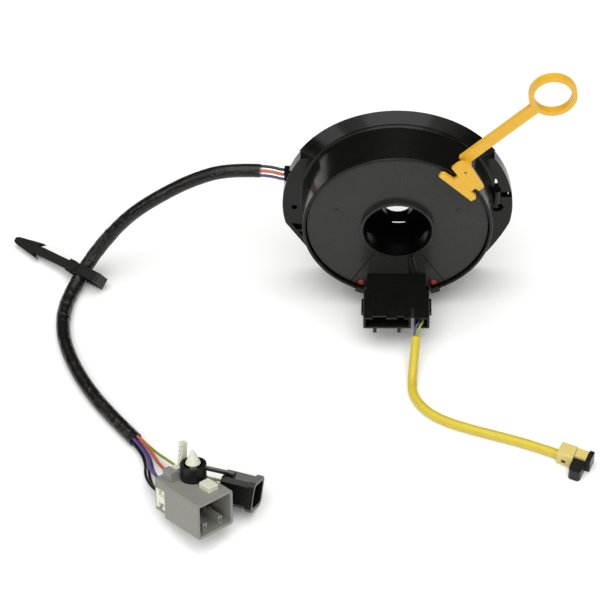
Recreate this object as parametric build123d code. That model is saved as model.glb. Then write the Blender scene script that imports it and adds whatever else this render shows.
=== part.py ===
from build123d import *
import os
from math import atan2, cos, degrees, pi, radians, sin, sqrt, tan

# Steering clock spring: the coiled-ribbon unit that joins the wiring of a turning steering wheel to the
# fixed steering column. All sizes are in millimetres.
#
# Frame: the origin is on the turning axis, at the rear face of the case's flange, where the unit seats on
# the column. +Y points down the column, -Y at the wheel and the driver, +Z up, +X to the right as seen
# from the wheel.

# ---------------------------------------------------------------- case (fixed to the column)
FLANGE_BACK_Y = 0.0
FLANGE_T = 2.5
PUCK_DEPTH = 26.0            # flange front to lip front
LIP_R = 54.0                 # outside of the round case at its lip
PUCK_DRAFT = 1.4             # growth of that radius from the lip to the flange
CASE_WALL = 2.0
CAVITY_R = LIP_R - CASE_WALL
LIP_ROUND = 0.6
CREASE_R = 1.5               # fillet where the round wall meets the flange
STRIP_W = 1.5                # flat strip outside that fillet
FLANGE_REACH = 12.8
OUTLINE_R = LIP_R + FLANGE_REACH  # flange outline, a circle below the axis
OUTLINE_DROP = 6.7
EAR_LOW_Z = -19.0            # where the outline's straight lower sides begin
FOOT_DROP = 8.0
FOOT_Z = -LIP_R - FOOT_DROP  # flat lower edge of the flange
FOOT_INSET = 16.0
FOOT_HALF_W = LIP_R - FOOT_INSET
KNEE_IN = 12.0               # corner of the left side, in from where that side begins
KNEE_Z = -39.5
SHOULDER_OUT = 11.8          # lower end of the right side's curve, from the corner of the foot
SHOULDER_UP = 14.2
SIDE_BULGE = 1.1
SKIRT_DEPTH = 4.5            # rearward wall round the flange
SKIRT_T = 2.0
FLARE_Z = 31.0               # the flange is a slanting flare above this height
FLARE_RISE = 0.6             # how far the flare's rear edge stands out past the outline
EAR_HOLE_OUT = 6.0
EAR_HOLE_X = LIP_R + EAR_HOLE_OUT
EAR_HOLE_R = 1.7
EAR_BOSS_R = 4.6
POCKET_TOP_Z = -19.6
POCKET_STEP = 6.7
POCKET_COUNT = 3
POCKET_H = 5.2
POCKET_CLEAR = 3.3
POCKET_INNER_R = LIP_R + POCKET_CLEAR
POCKET_MARGIN = 2.6
EAR_WINDOW = [(1.9, 15.6), (2.9, 15.0), (4.6, 8.0), (1.7, 7.6)]  # out from the lip, and height
SLOT_H = 4.0
SLOT_Z = 3.3
SLOT_OUT = 5.8
SLOT_IN_X = LIP_R + SLOT_OUT
FINGER_OUT = 2.9             # upright half-round bar beside the window, from the lip
FINGER_X = LIP_R + FINGER_OUT
FINGER_R = 2.8
FINGER_LOW_Z = -2.2
FINGER_TOP_Z = 7.3
DISH_OUT = 4.0               # shallow round recess that runs into the right screw hole
DISH_X = LIP_R + DISH_OUT
DISH_R = 3.4
DISH_DEPTH = 1.5

# ---------------------------------------------------------------- rear cover
COVER_T = 2.5
COVER_GAP = 0.3              # cover edge to the inside of the skirt
SPIGOT_GAP = 0.3
SPIGOT_R = CAVITY_R - SPIGOT_GAP
SPIGOT_T = 2.0
SPIGOT_DEPTH = 3.0
PILOT_T = 2.0
PILOT_DEPTH = 3.4            # how far the pilot bore runs in front of the flange's rear face
WEB_BACK_Y = -6.0
WEB_T = 1.6
SCREW_R = 1.2
SCREW_HEAD_R = 2.6
SCREW_HEAD_H = 1.6
SCREW_DEPTH = 2.2
SCREW_UPPER_INSET = 2.0
SCREW_UPPER_Z = 22.0
SCREW_LOWER_INSET = 18.0
SCREW_LOWER_RAISE = 8.0
SCREW_UPPER = (LIP_R - SCREW_UPPER_INSET, SCREW_UPPER_Z)
SCREW_LOWER = (LIP_R - SCREW_LOWER_INSET, SCREW_LOWER_RAISE - LIP_R)

# ---------------------------------------------------------------- rotor
RUN_GAP = 0.6                # rotor disc to case lip
FIT_GAP = 0.08               # hub in the rear cover
PIECE_GAP = 0.3
DISC_RECESS = 2.0            # disc face behind the lip
DISC_T = 2.0
HUB_OUT_R = 20.8
HUB_WALL = 1.3
HUB_IN_R = HUB_OUT_R - HUB_WALL
COLLAR_PROUD = 3.0           # collar in front of the disc face
HUB_SPLIT_Y = -20.0
HUB_BACK_Y = -3.8
HUB_WEB_T = 2.0
SHAFT_R = 8.75
SHAFT_BOSS_R = 11.5
SHAFT_BOSS_L = 5.2
HUB_SLOT_W = 7.6
HUB_SLOT_H = 2.9
HUB_SLOT_Z = -16.6
RING_T = 1.6
RING_PROUD = 2.4
RING_OUT_R = HUB_OUT_R + RING_PROUD
RING_SPLIT = 6.0             # gap between the ring's ends
RING_CLEAR = 0.4
RING_ROOM_R = RING_OUT_R + RING_CLEAR
PILOT_R = RING_ROOM_R + RING_CLEAR  # bore that seats on the column tube
GROOVE_DEPTH = 0.5
PIP_R = 1.2
PIP_H = 0.7
PIP_INSET = 17.8
PIP_X = CAVITY_R - PIP_INSET
PIP_Z = 13.3

# ---------------------------------------------------------------- wedge carrier and connector tower
CARRIER_GAP = 0.35
LEDGE_LAP = 1.5              # ledge behind the carrier's pocket, past the pocket's edge
LEDGE_T = 1.2
CARRIER_HUB_GAP = 1.5
CARRIER_TOP_Z = -HUB_OUT_R - CARRIER_HUB_GAP
CARRIER_TOP_HALF_W = 14.2
CARRIER_RAISE = 8.6
CARRIER_LOW_Z = CARRIER_RAISE - CAVITY_R
CARRIER_LOW_HALF_W = 27.0
TOWER_LEFT = -17.7
TOWER_RIGHT = 16.4
TOWER_STEP = 1.9             # the front part is wider by this on each side
TOWER_STEP_Y = -40.0
TOWER_FRONT_Y = -62.0
TOWER_H = 8.7
TOWER_RAISE = 6.0
TOWER_BOTTOM_Z = TOWER_RAISE - CAVITY_R
TOWER_TOP_Z = TOWER_BOTTOM_Z + TOWER_H
TOWER_WALL = 1.2
MOUTH_RIGHT = 6.4
MOUTH_DEPTH = 14.0
SPLIT_LEFT = 7.6             # open slot between the two mouths
SPLIT_RIGHT = 9.5
SPLIT_DEPTH = 8.0
SQUIB_POCKET_DEPTH = 7.0
PRONG_W = 2.0
PRONG_H = 3.6
PRONG_L = 4.0
PRONG_XS = (-13.0, 0.9)
NOTCH_XS = ((-14.2, -6.5), (-0.3, 3.7))  # notches in the upper wall of the wide mouth
NOTCH_DEPTH = 1.6
RAIL_W = 1.3                 # guide rail low on each side of the tower
RAIL_H = 2.6
RAIL_FRONT_Y = -52.0
RAIL_BACK_Y = -41.0
BLADE_W = 0.64
BLADE_PITCH = 3.0
BLADE_COUNT = 7
BLADE_PROUD = 9.0
RIVET_INSET = 2.9            # rivet's centre to the edge of the disc
RIVET_BESIDE = 4.8           # rivet's centre to the side of the tower
RIVET_X = TOWER_RIGHT + RIVET_BESIDE
RIVET_Z = -sqrt((CAVITY_R - RIVET_INSET) ** 2 - RIVET_X ** 2)
RIVET_R = 1.9
RIVET_H = 1.1
RIVET_SHANK_R = 1.0

FACE_WIRE_D = 1.3
FACE_WIRE_START = 1.4        # from the collar to the end of the leads
FACE_WIRE_STOP = 0.15
FACE_WIRE_XS = [(7.0, 7.6), (8.6, 11.6)]

# ---------------------------------------------------------------- shipping lock
LOCK_ANGLE = 45.0            # direction of the lock's arm, from +X towards +Z
LOCK_GAP = 0.5               # lock plate in front of the lip
LOCK_T = 2.0
LOCK_ARM_Y = -26.0
LOCK_ARM_T = 3.0
LOCK_ARM_W = 6.2
LOCK_ARM_U = -9.6
LOCK_NECK_OUT = 6.7
LOCK_NECK_W = LIP_R + LOCK_NECK_OUT  # inner end of the neck and arm, from the axis
LOCK_NECK_U = -7.6
LOCK_NECK_L = 2.4
LOCK_NECK_TRIM = 1.9         # the neck is narrower than the arm by this
LOCK_RING_REACH = 72.5
LOCK_RING_W = LIP_R + LOCK_RING_REACH  # ring centre, out from the axis
LOCK_RING_OUT_R = 13.0
LOCK_RING_WALL = 2.7
LOCK_RING_T = 4.6
LOCK_PEG_INSET = 5.7
LOCK_PEG_W = LIP_R - LOCK_PEG_INSET
LOCK_PEG_L = 7.0
LOCK_PEG_T = 2.4
LOCK_PEG_REACH = 1.5         # how far the peg reaches past the disc's face
LOCK_PLATE = [               # across the arm, and out from the lip
    (-14.3, -7.5), (11.7, -7.5), (12.1, -4.5), (10.7, -3.1), (6.2, -2.7), (6.2, 0.5), (9.1, 1.1),
    (8.9, 4.7), (-4.5, 9.1), (-12.7, 9.1), (-13.8, 6.1), (-13.6, 1.7), (-6.9, 0.3), (-6.7, -3.1),
    (-13.3, -3.7), (-14.9, -5.1),
]
LOCK_HOLE = (-6.0, 4.9)
LOCK_HOLE_R = 0.8

# ---------------------------------------------------------------- ribbon
RIBBON_T = 0.35
RIBBON_W = 14.0
RIBBON_IN_GAP = 4.2
RIBBON_OUT_GAP = 5.0
RIBBON_IN_R = HUB_OUT_R + RIBBON_IN_GAP
RIBBON_OUT_R = CAVITY_R - RIBBON_OUT_GAP
RIBBON_TURNS = 6

# ---------------------------------------------------------------- harness
FLOOR_Z = FOOT_Z
SLEEVE_D = 8.0
WIRE_D = 1.7
GUIDE_SET_BACK = 1.5
GUIDE_X = GUIDE_SET_BACK - OUTLINE_R  # mouth of the wire exit, at the edge of the case
GUIDE_L = 8.3
GUIDE_W = 7.6
GUIDE_H = 7.6
GUIDE_Z = 10.6
GUIDE_WALL = 0.8
EXIT_WIRE_START = 5.3        # how far inside the guide the wires are drawn from
EXIT_WIRE_LEAD = 6.0
WIRE_SPOTS_4 = [(0.0, 0.0), (1.9, 1.9), (-1.9, 1.9), (-1.9, -1.9), (1.9, -1.9)]
SLEEVE_Z = FLOOR_Z + SLEEVE_D / 2
SLEEVE_ROUTE = [
    (-79.0, 7.0, 13.2), (-98.0, 8.5, 13.0), (-119.0, 8.0, 5.5), (-139.0, 7.0, -6.5), (-157.0, 6.0, -20.0),
    (-172.0, 3.5, -36.0), (-184.0, -2.5, -50.0), (-192.0, -15.0, SLEEVE_Z), (-196.0, -33.0, SLEEVE_Z),
    (-195.0, -53.0, SLEEVE_Z), (-187.5, -74.0, SLEEVE_Z), (-175.5, -95.5, SLEEVE_Z),
    (-160.0, -116.0, SLEEVE_Z), (-143.5, -134.0, SLEEVE_Z),
]

# edge clip on the sleeve
CLIP_RUN = 6                 # run of the sleeve's route that the clip sits half way along
CLIP_TOWARDS = (-0.82, 0.57, -0.075)
CLIP_BAND_W = 6.0
CLIP_BAND_T = 1.2
CLIP_LOOP_END = -15.0        # far end of the loop, on the other side of the sleeve
CLIP_BASE_L = 5.0
CLIP_BASE_H = 7.0
CLIP_RIB_COUNT = 3
CLIP_RIB = 0.8
CLIP_SHAFT_T = 3.0
CLIP_SHAFT_W = 5.6
CLIP_SHAFT_L = 24.0
CLIP_HEAD_L = 21.0
CLIP_BARB_W = 5.0
CLIP_BARB_ROOT = 3.5
CLIP_NOSE_W = 2.4

# grey plug: the corner that rests on the floor, and how the plug lies on it
GREY_CORNER = (-111.8, -168.7, FLOOR_Z)
GREY_HEADING = -43.0
GREY_PITCH = 12.7
GREY_ROLL = -14.8
GREY_L = 36.4
GREY_W = 23.5
GREY_H = 20.6
GREY_REAR_L = 9.6
GREY_REAR_INSET = 1.6
GREY_WALL = 1.5
GREY_ROUND = 1.5
GREY_MOUTH_DEPTH = 18.0
GREY_PIN_W = 0.8
GREY_PIN_L = 9.0
GREY_PIN_COLS = 5
GREY_PIN_ROWS = 3
GREY_PIN_PITCH = 3.6
GREY_KEY_YS = (6.6, 16.9)    # hollow keys along the lower wall of the mouth
GREY_KEY_W = 2.6
GREY_KEY_H = 4.6
GREY_KEY_BORE = 1.2
GREY_KEY_BACK = 2.5
GREY_KEY_BORE_L = 5.0
GREY_RIB_COUNT = 3
GREY_RIB_PITCH = 6.0
GREY_RIB_W = 1.4
GREY_RIB_PROUD = 0.9
GREY_RIB_L = 11.0
GREY_RIDGE = (3.0, 10.0, 4.5, 9.0, 5.6)
GREY_LOCK_X = 1.6
GREY_LOCK_L = 7.0
GREY_LOCK_H = 11.0
GREY_LOCK_Z = 4.6
GREY_LOCK_DEPTH = 5.0
GREY_LOCK_PROUD = 0.8
GREY_LOCK_SLOT = 0.8
GREY_LOCK_WAIST = 1.4        # half width of the notch above and below the lock's crossbar
GREY_LOCK_NOTCH = 3.4
PLUG_WIRE_LEAD = 13.0
WIRE_RING_R = 2.6
PLUG_WIRE_ANGLES = (60.0, 120.0, 180.0, 240.0)
PLUG_WIRE_ENDS = [(11.0, 10.0), (15.5, 14.5), (8.0, 15.0), (4.5, 10.0), (8.0, 5.0)]

# nylon retainer pieces and the strap on top of the grey plug, in that plug's own frame
POST_X = (2.0, 5.0)
POST_Y = (15.0, 18.6)
POST_L = 16.5
POST_LEAN = 5.0
POST_FOOT = (0.6, 5.4, 10.4, 15.0, 3.0)
POST_NOTCH = 0.6
BLOCK_X = (22.5, 31.0)
BLOCK_Y = (12.5, 19.0)
BLOCK_H = 3.0
BLOCK_ROUND = 0.8
STRAP_X = 13.5
STRAP_Y = 16.5
STRAP_R = 7.0
STRAP_T = 1.8
STRAP_H = 8.4
STRAP_NECK_W = 3.0
STRAP_NECK_T = 1.6
STRAP_NECK_FROM = (17.4, 21.2, 5.6)
TIP_R = 1.9
TIP_HEAD_R = 4.0
TIP_SHANK_L = 9.0
TIP_HEAD_L = 7.5

# black plug beside it: near lower rear corner, and how it lies
BLACK_CORNER = (-95.2, -181.2, -53.05)
BLACK_HEADING = -17.0
BLACK_ROLL = -34.0
BLACK_L = 19.0
BLACK_W = 16.0
BLACK_H = 15.0
BLACK_CHAMFER = 2.2
BLACK_WALL = 1.2
BLACK_MOUTH_DEPTH = 10.0
BLACK_COLLAR_L = 3.6
BLACK_COLLAR = 0.8
BLACK_PIN_COLS = 4
BLACK_PIN_PITCH = 2.5
BLACK_PIN_L = 5.0
BLACK_FOOT = (0.6, 5.4, 3.2, 8.8, 1.8)
BLACK_WIRE_D = 1.5
BLACK_WIRE_STARTS = [(2.6, 0.0), (1.3, -2.25)]
BLACK_WIRE_MIDS = [
    [(-122.0, -152.5, -54.5), (-112.2, -162.3, -52.0)],
    [(-123.5, -154.5, -58.5), (-113.0, -164.0, -57.5)],
]
BLACK_WIRE_LEAD = 9.0
BLACK_WIRE_ENDS = [(9.6, 9.4), (6.4, 5.6)]

# ---------------------------------------------------------------- squib (airbag) lead
SQUIB_D = 5.2
SQUIB_Z = FLOOR_Z + SQUIB_D / 2
SQUIB_ROUTE = [
    (10.6, -68.0, -46.0), (10.1, -72.6, -50.6), (9.2, -80.3, -55.1), (8.2, -90.0, SQUIB_Z),
    (8.5, -100.5, SQUIB_Z), (15.0, -111.5, SQUIB_Z), (26.0, -119.5, SQUIB_Z), (41.0, -125.5, SQUIB_Z),
    (58.0, -131.0, SQUIB_Z), (74.0, -136.7, SQUIB_Z), (88.0, -143.0, SQUIB_Z),
]
SQUIB_WIRE_D = 1.3
SQUIB_WIRE_LEAD_IN = 6.0
SQUIB_WIRE_LEAD_OUT = 5.0
SQUIB_WIRE_SPREAD = 1.0
SQUIB_BODY_L = 9.0
SQUIB_BODY_W = 9.0
SQUIB_BODY_H = 9.0
SQUIB_BODY_ROUND = 1.0
SQUIB_WINDOW = 2.5           # square window in the near side of the body
SQUIB_WINDOW_X = 4.0
SQUIB_WINDOW_Z = 3.5
SQUIB_WINDOW_DEPTH = 1.0
SQUIB_NOSE_L = 7.0
SQUIB_NOSE_DROP = 7.0
SQUIB_NOSE_ROUND = 2.0
SQUIB_FLANGE_L = 2.6
SQUIB_FLANGE_SET = 1.5
SQUIB_LOCK_W = 5.0
SQUIB_LOCK_T = 1.6


# ================================================================ helpers
def facing_wheel(y):
    """Sketch plane square to the axis at height y: sketch x is X, sketch y is Z, outwards is the wheel."""
    return Plane(origin=(0, y, 0), x_dir=(1, 0, 0), z_dir=(0, -1, 0))


def slab(sketch, y_front, y_back):
    """Extrude a sketch drawn in X and Z between two heights along the axis."""
    return extrude(facing_wheel(y_back) * sketch, y_back - y_front)


def round_bar(radius, y_front, y_back, x=0.0, z=0.0):
    return slab(Pos(x, z) * Circle(radius), y_front, y_back)


def tube(outer, inner, y_front, y_back, x=0.0, z=0.0):
    return slab(Pos(x, z) * (Circle(outer) - Circle(inner)), y_front, y_back)


def block(x0, x1, y0, y1, z0, z1):
    return Pos((x0 + x1) / 2, (y0 + y1) / 2, (z0 + z1) / 2) * Box(x1 - x0, y1 - y0, z1 - z0)


def outline(points):
    return make_face(Polyline(*points, close=True))


def bend_radii(points):
    """The largest tangent arc that each corner of a route allows."""
    radii = []
    for before, here, after in zip(points, points[1:], points[2:]):
        run_in = Vector(*here) - Vector(*before)
        run_out = Vector(*after) - Vector(*here)
        turn = radians(run_in.get_angle(run_out))
        radii.append(0.45 * min(run_in.length, run_out.length) / tan(turn / 2))
    return radii


def cord(points, diameter):
    """A free cord: straight runs joined by tangent arcs."""
    radii = bend_radii(points)
    path = FilletPolyline(*points, radius=radii)
    start = Plane(origin=path @ 0, z_dir=path % 0)
    body = sweep(start * Circle(diameter / 2), path=path)
    wanted = pi * (diameter / 2) ** 2 * path.length
    print(f"cord {diameter} mm: length {path.length:.1f}, volume {body.volume / wanted:.4f} of section x"
          f" length, smallest radius {min(radii):.1f}, radii {[round(r) for r in radii]}")
    return body


# ================================================================ case
LIP_Y = FLANGE_BACK_Y - FLANGE_T - PUCK_DEPTH
FLANGE_FRONT_Y = FLANGE_BACK_Y - FLANGE_T
PUCK_R = LIP_R + PUCK_DRAFT
STRIP_R = PUCK_R + STRIP_W
SKIRT_BACK_Y = FLANGE_BACK_Y + SKIRT_DEPTH
FAR = 200.0


def flange_outline(inset=0.0):
    """Circle below the axis, a cranked left side, a curved right side and a flat foot."""
    low = EAR_LOW_Z
    side = sqrt(OUTLINE_R ** 2 - (low + OUTLINE_DROP) ** 2)
    shoulder = (FOOT_HALF_W + SHOULDER_OUT, FOOT_Z + SHOULDER_UP)
    top = ThreePointArc((side, low), (0, OUTLINE_R - OUTLINE_DROP), (-side, low))
    foot = [(-FOOT_HALF_W, FOOT_Z), (FOOT_HALF_W, FOOT_Z)]
    left = Polyline((-side, low), (KNEE_IN - side, KNEE_Z), *foot, shoulder)
    right = SagittaArc(shoulder, (side, low), -SIDE_BULGE)
    face = make_face(top.edges() + left.edges() + right.edges())
    return offset(face, amount=-inset, kind=Kind.INTERSECTION) if inset else face


def above_flare_line():
    return Pos(0, FLARE_Z + FAR / 2) * Rectangle(2 * FAR, FAR)


def round_wall():
    profile = outline([
        (CAVITY_R, LIP_Y), (LIP_R, LIP_Y), (PUCK_R, FLANGE_FRONT_Y), (STRIP_R, FLANGE_FRONT_Y),
        (STRIP_R, FLANGE_BACK_Y), (CAVITY_R, FLANGE_BACK_Y),
    ])
    lip = [v for v in profile.vertices() if abs(v.Y - LIP_Y) < 0.01]
    profile = fillet(lip, LIP_ROUND)
    crease = [v for v in profile.vertices() if abs(v.Y - FLANGE_FRONT_Y) < 0.01 and v.X < STRIP_R - 0.5]
    profile = fillet(crease, CREASE_R)
    return revolve(profile, Axis.Y)


def flare_cone(trim):
    """The flare's outside, or with a trim the space inside it."""
    front = facing_wheel(FLANGE_FRONT_Y - trim) * Circle(STRIP_R - trim / 2)
    rear_r = OUTLINE_R + FLARE_RISE - trim
    rear = facing_wheel(SKIRT_BACK_Y + trim) * Pos(0, -OUTLINE_DROP) * Circle(rear_r)
    return loft([front, rear], ruled=True)


def flare():
    """The upper part of the flange: a thin wall that slants back and outwards."""
    sector = slab(above_flare_line(), LIP_Y, SKIRT_BACK_Y)
    return (flare_cone(0.0) - flare_cone(SKIRT_T)) & sector


def screw_spots():
    return [(side * x, z) for x, z in (SCREW_UPPER, SCREW_LOWER) for side in (-1, 1)]


def ear_cuts():
    """Screw holes, the window, slot and dish of the right ear and the pockets of the left one."""
    cuts = []
    for side in (-1, 1):
        cuts.append(round_bar(EAR_HOLE_R, LIP_Y, SKIRT_BACK_Y + 1, side * EAR_HOLE_X, -OUTLINE_DROP))
    cuts.append(ear_window())
    slot = Pos((SLOT_IN_X + FAR) / 2, SLOT_Z) * Rectangle(FAR - SLOT_IN_X, SLOT_H)
    cuts.append(slab(slot, LIP_Y, FLANGE_BACK_Y))
    dish = Pos(DISH_X, -OUTLINE_DROP) * Circle(DISH_R) - Circle(PUCK_R)
    cuts.append(slab(dish, LIP_Y, FLANGE_FRONT_Y + DISH_DEPTH))
    field = flange_outline(POCKET_MARGIN) - Circle(POCKET_INNER_R)
    for i in range(POCKET_COUNT):
        top = POCKET_TOP_Z - i * POCKET_STEP
        band = Pos(-FAR / 2, top - POCKET_H / 2) * Rectangle(FAR, POCKET_H)
        cuts.append(slab(field & band, LIP_Y, FLANGE_BACK_Y))
    return cuts


def ear_window():
    """Hook-shaped opening through the right ear, flange and cover alike."""
    points = [(LIP_R + out, z) for out, z in EAR_WINDOW]
    return slab(outline(points) - Circle(PUCK_R + PIECE_GAP), LIP_Y, FAR / 2)


def ear_finger():
    """Half-round bar that stands on the flange of the right ear."""
    height = FINGER_TOP_Z - FINGER_LOW_Z
    bar = Pos(FINGER_X, FLANGE_FRONT_Y, FINGER_LOW_Z) * extrude(Circle(FINGER_R), height)
    bar &= slab(Circle(FAR), LIP_Y, FLANGE_BACK_Y)
    return bar - slab(Circle(CAVITY_R + CASE_WALL / 2), LIP_Y, FAR)


def outer_case():
    case = round_wall()
    plate = flange_outline() - above_flare_line() - Circle(STRIP_R - 0.5)
    case += slab(plate, FLANGE_FRONT_Y, FLANGE_BACK_Y)
    skirt = flange_outline() - flange_outline(SKIRT_T) - above_flare_line()
    case += slab(skirt, FLANGE_FRONT_Y, SKIRT_BACK_Y)
    case += flare()
    for side in (-1, 1):
        case += round_bar(EAR_BOSS_R, FLANGE_FRONT_Y, SKIRT_BACK_Y, side * EAR_HOLE_X, -OUTLINE_DROP)
    case += ear_finger()
    for cut in ear_cuts():
        case -= cut
    for x, z in screw_spots():
        case -= round_bar(SCREW_R, FLANGE_BACK_Y - SCREW_DEPTH, FLANGE_BACK_Y + 1, x, z)
    return case - guide_block(PIECE_GAP)


# ================================================================ rear cover
COVER_BACK_Y = FLANGE_BACK_Y + COVER_T
WEB_FRONT_Y = WEB_BACK_Y - WEB_T
PILOT_FRONT_Y = FLANGE_BACK_Y - PILOT_DEPTH


def rear_cover():
    plate = flange_outline(SKIRT_T + COVER_GAP) - Circle(PILOT_R)
    for side in (-1, 1):
        plate -= Pos(side * EAR_HOLE_X, -OUTLINE_DROP) * Circle(EAR_BOSS_R + PIECE_GAP)
    cover = slab(plate - above_flare_line(), FLANGE_BACK_Y, COVER_BACK_Y)
    cover += slab(plate & above_flare_line(), FLANGE_BACK_Y, COVER_BACK_Y) & flare_cone(SKIRT_T + PIECE_GAP)
    cover += tube(SPIGOT_R, SPIGOT_R - SPIGOT_T, FLANGE_BACK_Y - SPIGOT_DEPTH, FLANGE_BACK_Y)
    cover += tube(PILOT_R + PILOT_T, PILOT_R, PILOT_FRONT_Y, COVER_BACK_Y)
    cover += tube(PILOT_R + PILOT_T, RING_ROOM_R, WEB_BACK_Y, PILOT_FRONT_Y)
    cover += tube(PILOT_R + PILOT_T, HUB_OUT_R + FIT_GAP, WEB_FRONT_Y, WEB_BACK_Y)
    for x, z in screw_spots():
        cover -= round_bar(SCREW_R + PIECE_GAP, FLANGE_BACK_Y - 1, COVER_BACK_Y + 1, x, z)
    return cover - ear_window()


def cover_screws():
    screws = []
    for x, z in screw_spots():
        screw = round_bar(SCREW_R - 0.05, FLANGE_BACK_Y - SCREW_DEPTH + 0.1, COVER_BACK_Y, x, z)
        screw += round_bar(SCREW_HEAD_R, COVER_BACK_Y, COVER_BACK_Y + SCREW_HEAD_H, x, z)
        cross = Rectangle(SCREW_HEAD_R * 1.2, 0.6) + Rectangle(0.6, SCREW_HEAD_R * 1.2)
        screw -= slab(Pos(x, z) * cross, COVER_BACK_Y + SCREW_HEAD_H * 0.4, COVER_BACK_Y + SCREW_HEAD_H + 1)
        screws.append(screw)
    return Compound(children=screws)


def ribbon_cable():
    """The coiled flat cable, with all its turns in one strip."""
    steps = RIBBON_TURNS * 10
    pitch = (RIBBON_OUT_R - RIBBON_IN_R) / RIBBON_TURNS

    def at(i, shift):
        turn = i / 10
        radius = RIBBON_IN_R + pitch * turn + shift
        return (radius * cos(2 * pi * turn), radius * sin(2 * pi * turn))

    inner = Spline(*[at(i, 0.0) for i in range(steps + 1)])
    outer = Spline(*[at(i, RIBBON_T) for i in range(steps + 1)])
    face = make_face([inner, outer, Line(inner @ 0, outer @ 0), Line(inner @ 1, outer @ 1)])
    middle = (DISC_BACK_Y + WEB_FRONT_Y) / 2
    return slab(face, middle - RIBBON_W / 2, middle + RIBBON_W / 2)


# ================================================================ rotor
DISC_FRONT_Y = LIP_Y + DISC_RECESS
DISC_BACK_Y = DISC_FRONT_Y + DISC_T
COLLAR_FRONT_Y = DISC_FRONT_Y - COLLAR_PROUD
ROTOR_R = CAVITY_R - RUN_GAP
GROOVE_FRONT_Y = WEB_BACK_Y + PIECE_GAP


def carrier_outline(gap=0.0):
    """Wedge from the hub to the rim of the disc, with a running gap all round when it is a pocket."""
    slope = (CARRIER_LOW_HALF_W - CARRIER_TOP_HALF_W) / (CARRIER_TOP_Z - CARRIER_LOW_Z)
    depth = CARRIER_TOP_Z + gap - FOOT_Z
    low_half = CARRIER_TOP_HALF_W + gap + slope * depth
    wedge = outline([
        (-CARRIER_TOP_HALF_W - gap, CARRIER_TOP_Z + gap), (CARRIER_TOP_HALF_W + gap, CARRIER_TOP_Z + gap),
        (low_half, CARRIER_TOP_Z + gap - depth), (-low_half, CARRIER_TOP_Z + gap - depth),
    ])
    return (wedge & Circle(ROTOR_R)) - Circle(HUB_OUT_R + CARRIER_GAP + 1.2 - gap)


def lock_peg(gap=0.0):
    """Peg of the lock tab, or with a gap the slot it drops into."""
    peg = Rectangle(LOCK_PEG_L + 2 * gap, LOCK_PEG_T + 2 * gap)
    return Rot(0, 0, LOCK_ANGLE - 90) * Pos(0, LOCK_PEG_W) * peg


def rotor_disc():
    face = Circle(ROTOR_R) - Circle(HUB_IN_R) - carrier_outline(CARRIER_GAP) - lock_peg(PIECE_GAP)
    disc = slab(face, DISC_FRONT_Y, DISC_BACK_Y)
    disc += tube(HUB_OUT_R, HUB_IN_R, COLLAR_FRONT_Y, HUB_SPLIT_Y)
    ledge = carrier_outline(CARRIER_GAP + LEDGE_LAP) & Circle(ROTOR_R - LEDGE_LAP)
    disc += slab(ledge - Circle(HUB_IN_R), DISC_BACK_Y, DISC_BACK_Y + LEDGE_T)
    rim_edge = disc.edges().filter_by(GeomType.CIRCLE).filter_by(lambda e: abs(e.radius - HUB_OUT_R) < 0.01)
    disc = chamfer(rim_edge.sort_by(Axis.Y)[0], 0.4)
    for side in (-1, 1):
        pip = round_bar(PIP_R, DISC_FRONT_Y - PIP_H, DISC_FRONT_Y, side * PIP_X, PIP_Z)
        disc += chamfer(pip.edges().sort_by(Axis.Y)[0], PIP_H * 0.6)
    return disc


def hub_sleeve():
    hub = tube(HUB_OUT_R, HUB_IN_R, HUB_SPLIT_Y, HUB_BACK_Y)
    hub += tube(HUB_IN_R + 0.5, SHAFT_R, HUB_BACK_Y - HUB_WEB_T, HUB_BACK_Y)
    hub += tube(SHAFT_BOSS_R, SHAFT_R, HUB_BACK_Y - SHAFT_BOSS_L, HUB_BACK_Y)
    slot = Pos(0.6, HUB_SLOT_Z) * Rectangle(HUB_SLOT_W, HUB_SLOT_H)
    hub -= slab(slot, HUB_BACK_Y - HUB_WEB_T - 1, HUB_BACK_Y + 1)
    groove = tube(HUB_OUT_R + 1, HUB_OUT_R - GROOVE_DEPTH, GROOVE_FRONT_Y, GROOVE_FRONT_Y + RING_T)
    return hub - groove


def retaining_ring():
    ring = Circle(RING_OUT_R) - Circle(HUB_OUT_R - GROOVE_DEPTH + 0.05)
    ring -= Pos(0, RING_OUT_R) * Rectangle(RING_SPLIT, RING_OUT_R)
    return slab(ring, GROOVE_FRONT_Y + 0.05, GROOVE_FRONT_Y + RING_T - 0.05)


def connector_carrier():
    plate = slab(carrier_outline(), DISC_FRONT_Y, DISC_BACK_Y)
    for side in (-1, 1):
        plate -= round_bar(RIVET_SHANK_R + 0.05, LIP_Y, FLANGE_BACK_Y, side * RIVET_X, RIVET_Z)
    return plate


def carrier_rivets():
    rivets = []
    for side in (-1, 1):
        x = side * RIVET_X
        rivet = round_bar(RIVET_R, DISC_FRONT_Y - RIVET_H, DISC_FRONT_Y, x, RIVET_Z)
        rivet = chamfer(rivet.edges().sort_by(Axis.Y)[0], RIVET_H * 0.5)
        rivet += round_bar(RIVET_SHANK_R, DISC_FRONT_Y, DISC_BACK_Y, x, RIVET_Z)
        rivets.append(rivet)
    return Compound(children=rivets)


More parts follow.
